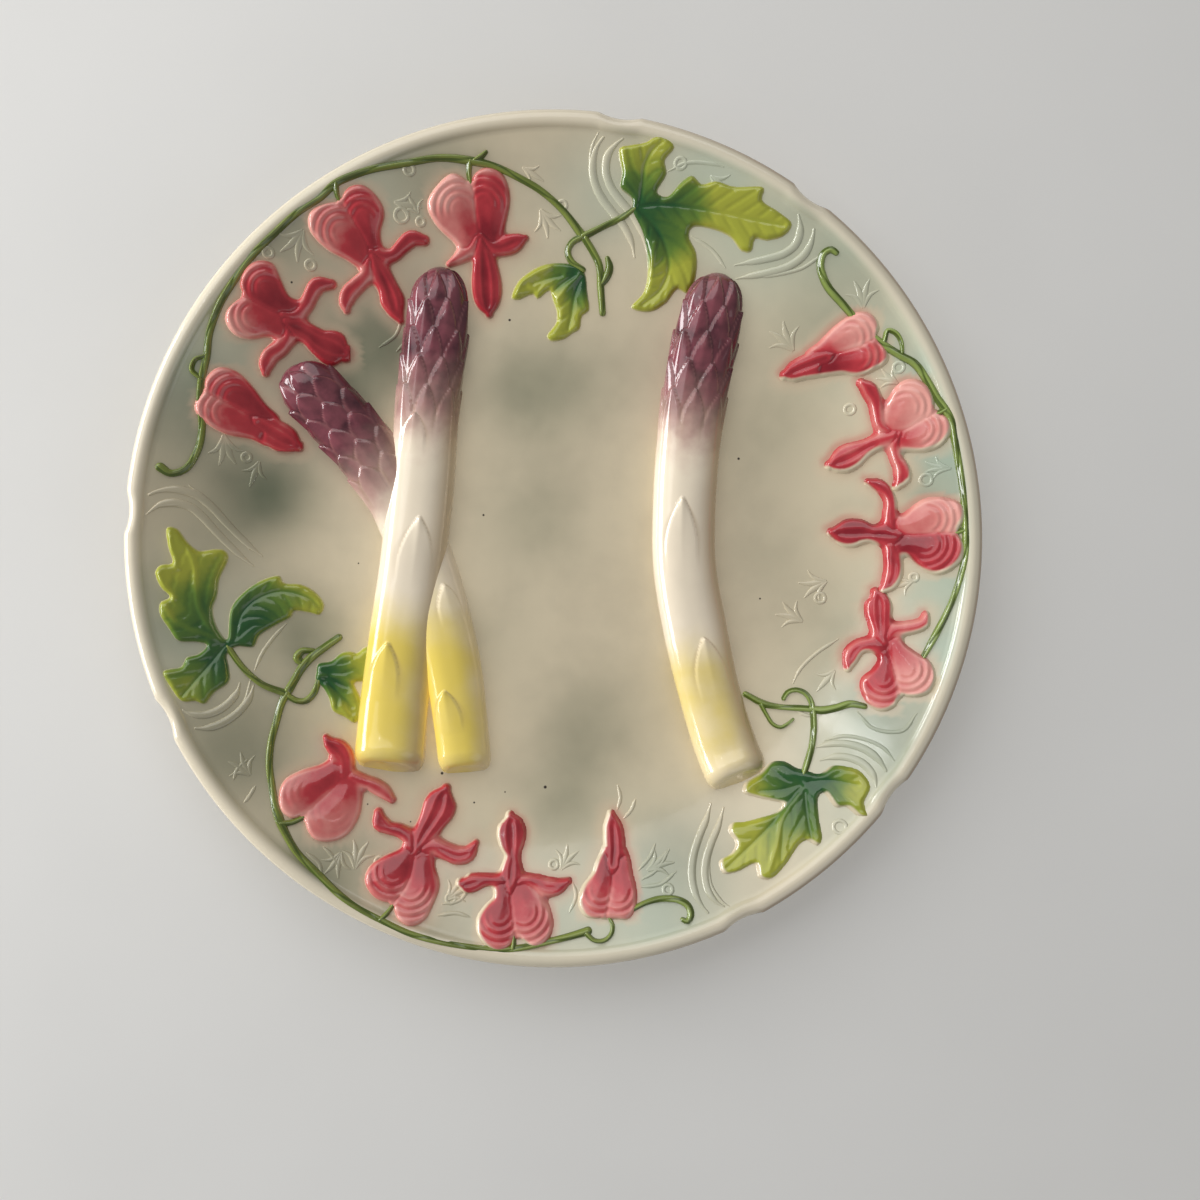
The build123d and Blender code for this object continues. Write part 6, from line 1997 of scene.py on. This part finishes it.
class PLATE_OT_leaves(bpy.types.Operator):
    """Model and glaze the leaves"""

    bl_idname = "asparagus_plate.leaves"
    bl_label = "Leaves"

    def execute(self, context):
        material = leaf_glaze(context.scene.plate_glazes)
        for name, points in LEAVES.items():
            field = leaf_field(name, points, context.scene.plate_sizes.leaf_height / MM)
            reach_at = functools.partial(outline_reach, points=points)
            piece = relief_pad(name + PIECE_ENDING, points, reach_at, field, material)
            hand_in(piece, "leaf_glaze", name)
        return {"FINISHED"}


class PLATE_OT_flowers(bpy.types.Operator):
    """Model and glaze the flowers and buds"""

    bl_idname = "asparagus_plate.flowers"
    bl_label = "Flowers and buds"

    def execute(self, context):
        material = flower_glaze(context.scene.plate_glazes)
        for name in FLOWER_LOBES:
            field = flower_field(name, context.scene.plate_sizes.flower_height / MM)
            reach_at = functools.partial(flower_reach, name=name)
            piece = relief_pad(name + PIECE_ENDING, flower_points(name), reach_at, field, material)
            hand_in(piece, "flower_glaze", name)
        return {"FINISHED"}


def area_light(name, place, width, depth, power, shadows=True):
    """A soft light that faces the middle of the plate."""
    light = bpy.data.lights.new(name, "AREA")
    light.shape = "RECTANGLE"
    light.size = width
    light.size_y = depth
    light.energy = power
    light.use_shadow = shadows
    lamp = bpy.data.objects.new(name, light)
    lamp.location = place
    lamp.rotation_euler = (-Vector(place)).to_track_quat("-Z", "Y").to_euler()
    bpy.context.scene.collection.objects.link(lamp)


def floor_piece(settings):
    """A pale floor under the plate."""
    bm = bmesh.new()
    bmesh.ops.create_grid(bm, x_segments=1, y_segments=1, size=settings.floor_size / 2)
    mesh = bpy.data.meshes.new("floor")
    bm.to_mesh(mesh)
    bm.free()
    glaze = Glaze("Floor")
    deeper = tuple(part * FLOOR_DEEPER for part in settings.floor_colour)
    colour = glaze.mix(glaze.span(glaze.noise(*FLOOR_NOISE), *FLOOR_SPAN), settings.floor_colour, deeper)
    glaze.join(colour, glaze.shader.inputs["Base Color"])
    glaze.shader.inputs["Roughness"].default_value = FLOOR_ROUGHNESS
    mesh.materials.append(glaze.material)
    floor = bpy.data.objects.new("floor", mesh)
    bpy.context.scene.collection.objects.link(floor)
    return floor


class PLATE_OT_stage(bpy.types.Operator):
    """Set the floor, the lights and the camera"""

    bl_idname = "asparagus_plate.stage"
    bl_label = "Stage"

    def execute(self, context):
        scene = context.scene
        settings = scene.plate_stage
        floor_piece(settings)
        world = bpy.data.worlds.new("Soft surroundings")
        world.use_nodes = True
        background = world.node_tree.nodes["Background"]
        background.inputs["Color"].default_value = WHITE
        background.inputs["Strength"].default_value = settings.world_strength
        scene.world = world
        area_light("Window", WINDOW_PLACE, *WINDOW_SIZE, settings.window_power, shadows=False)
        area_light("Sky", SKY_PLACE, *SKY_SIZE, settings.sky_power)
        area_light("Fill", FILL_PLACE, *FILL_SIZE, settings.fill_power)
        area_light("Glint", GLINT_PLACE, *GLINT_SIZE, settings.glint_power)
        camera = bpy.data.cameras.new("Camera")
        camera.lens = settings.lens
        camera.sensor_width = SENSOR_WIDTH
        camera.clip_start = CAMERA_NEAR
        holder = bpy.data.objects.new("Camera", camera)
        holder.location = CAMERA_PLACE
        scene.collection.objects.link(holder)
        scene.camera = holder
        scene.view_settings.view_transform = "Standard"
        return {"FINISHED"}


OPERATORS = (
    PLATE_OT_stage, PLATE_OT_body, PLATE_OT_scrolls, PLATE_OT_spears, PLATE_OT_stems, PLATE_OT_leaves,
    PLATE_OT_flowers,
)


class PLATE_PT_panel(bpy.types.Panel):
    """Buttons that make each part of the plate"""

    bl_idname = "PLATE_PT_panel"
    bl_label = "Asparagus plate"
    bl_space_type = "VIEW_3D"
    bl_region_type = "UI"
    bl_category = "Plate"

    def draw(self, context):
        for group in (context.scene.plate_sizes, context.scene.plate_glazes, context.scene.plate_stage):
            box = self.layout.box()
            for key in group.__annotations__:
                box.prop(group, key)
        for operator in OPERATORS:
            self.layout.operator(operator.bl_idname)


GROUPS = {"plate_sizes": PlateSizes, "plate_glazes": GlazeColours, "plate_stage": StageSettings}
CLASSES = (*GROUPS.values(), *OPERATORS, PLATE_PT_panel)


def register():
    """Makes the classes and settings known to Blender."""
    for item in CLASSES:
        bpy.utils.register_class(item)
    for key, group in GROUPS.items():
        setattr(bpy.types.Scene, key, bpy.props.PointerProperty(type=group))


def unregister():
    """Takes the classes and settings away again."""
    for key in GROUPS:
        delattr(bpy.types.Scene, key)
    for item in reversed(CLASSES):
        bpy.utils.unregister_class(item)


def main():
    """Makes the plate and its stage."""
    register()
    bpy.ops.asparagus_plate.stage()
    bpy.ops.asparagus_plate.body()
    bpy.ops.asparagus_plate.scrolls()
    bpy.ops.asparagus_plate.spears()
    bpy.ops.asparagus_plate.stems()
    bpy.ops.asparagus_plate.leaves()
    bpy.ops.asparagus_plate.flowers()


if __name__ == "__main__":
    main()
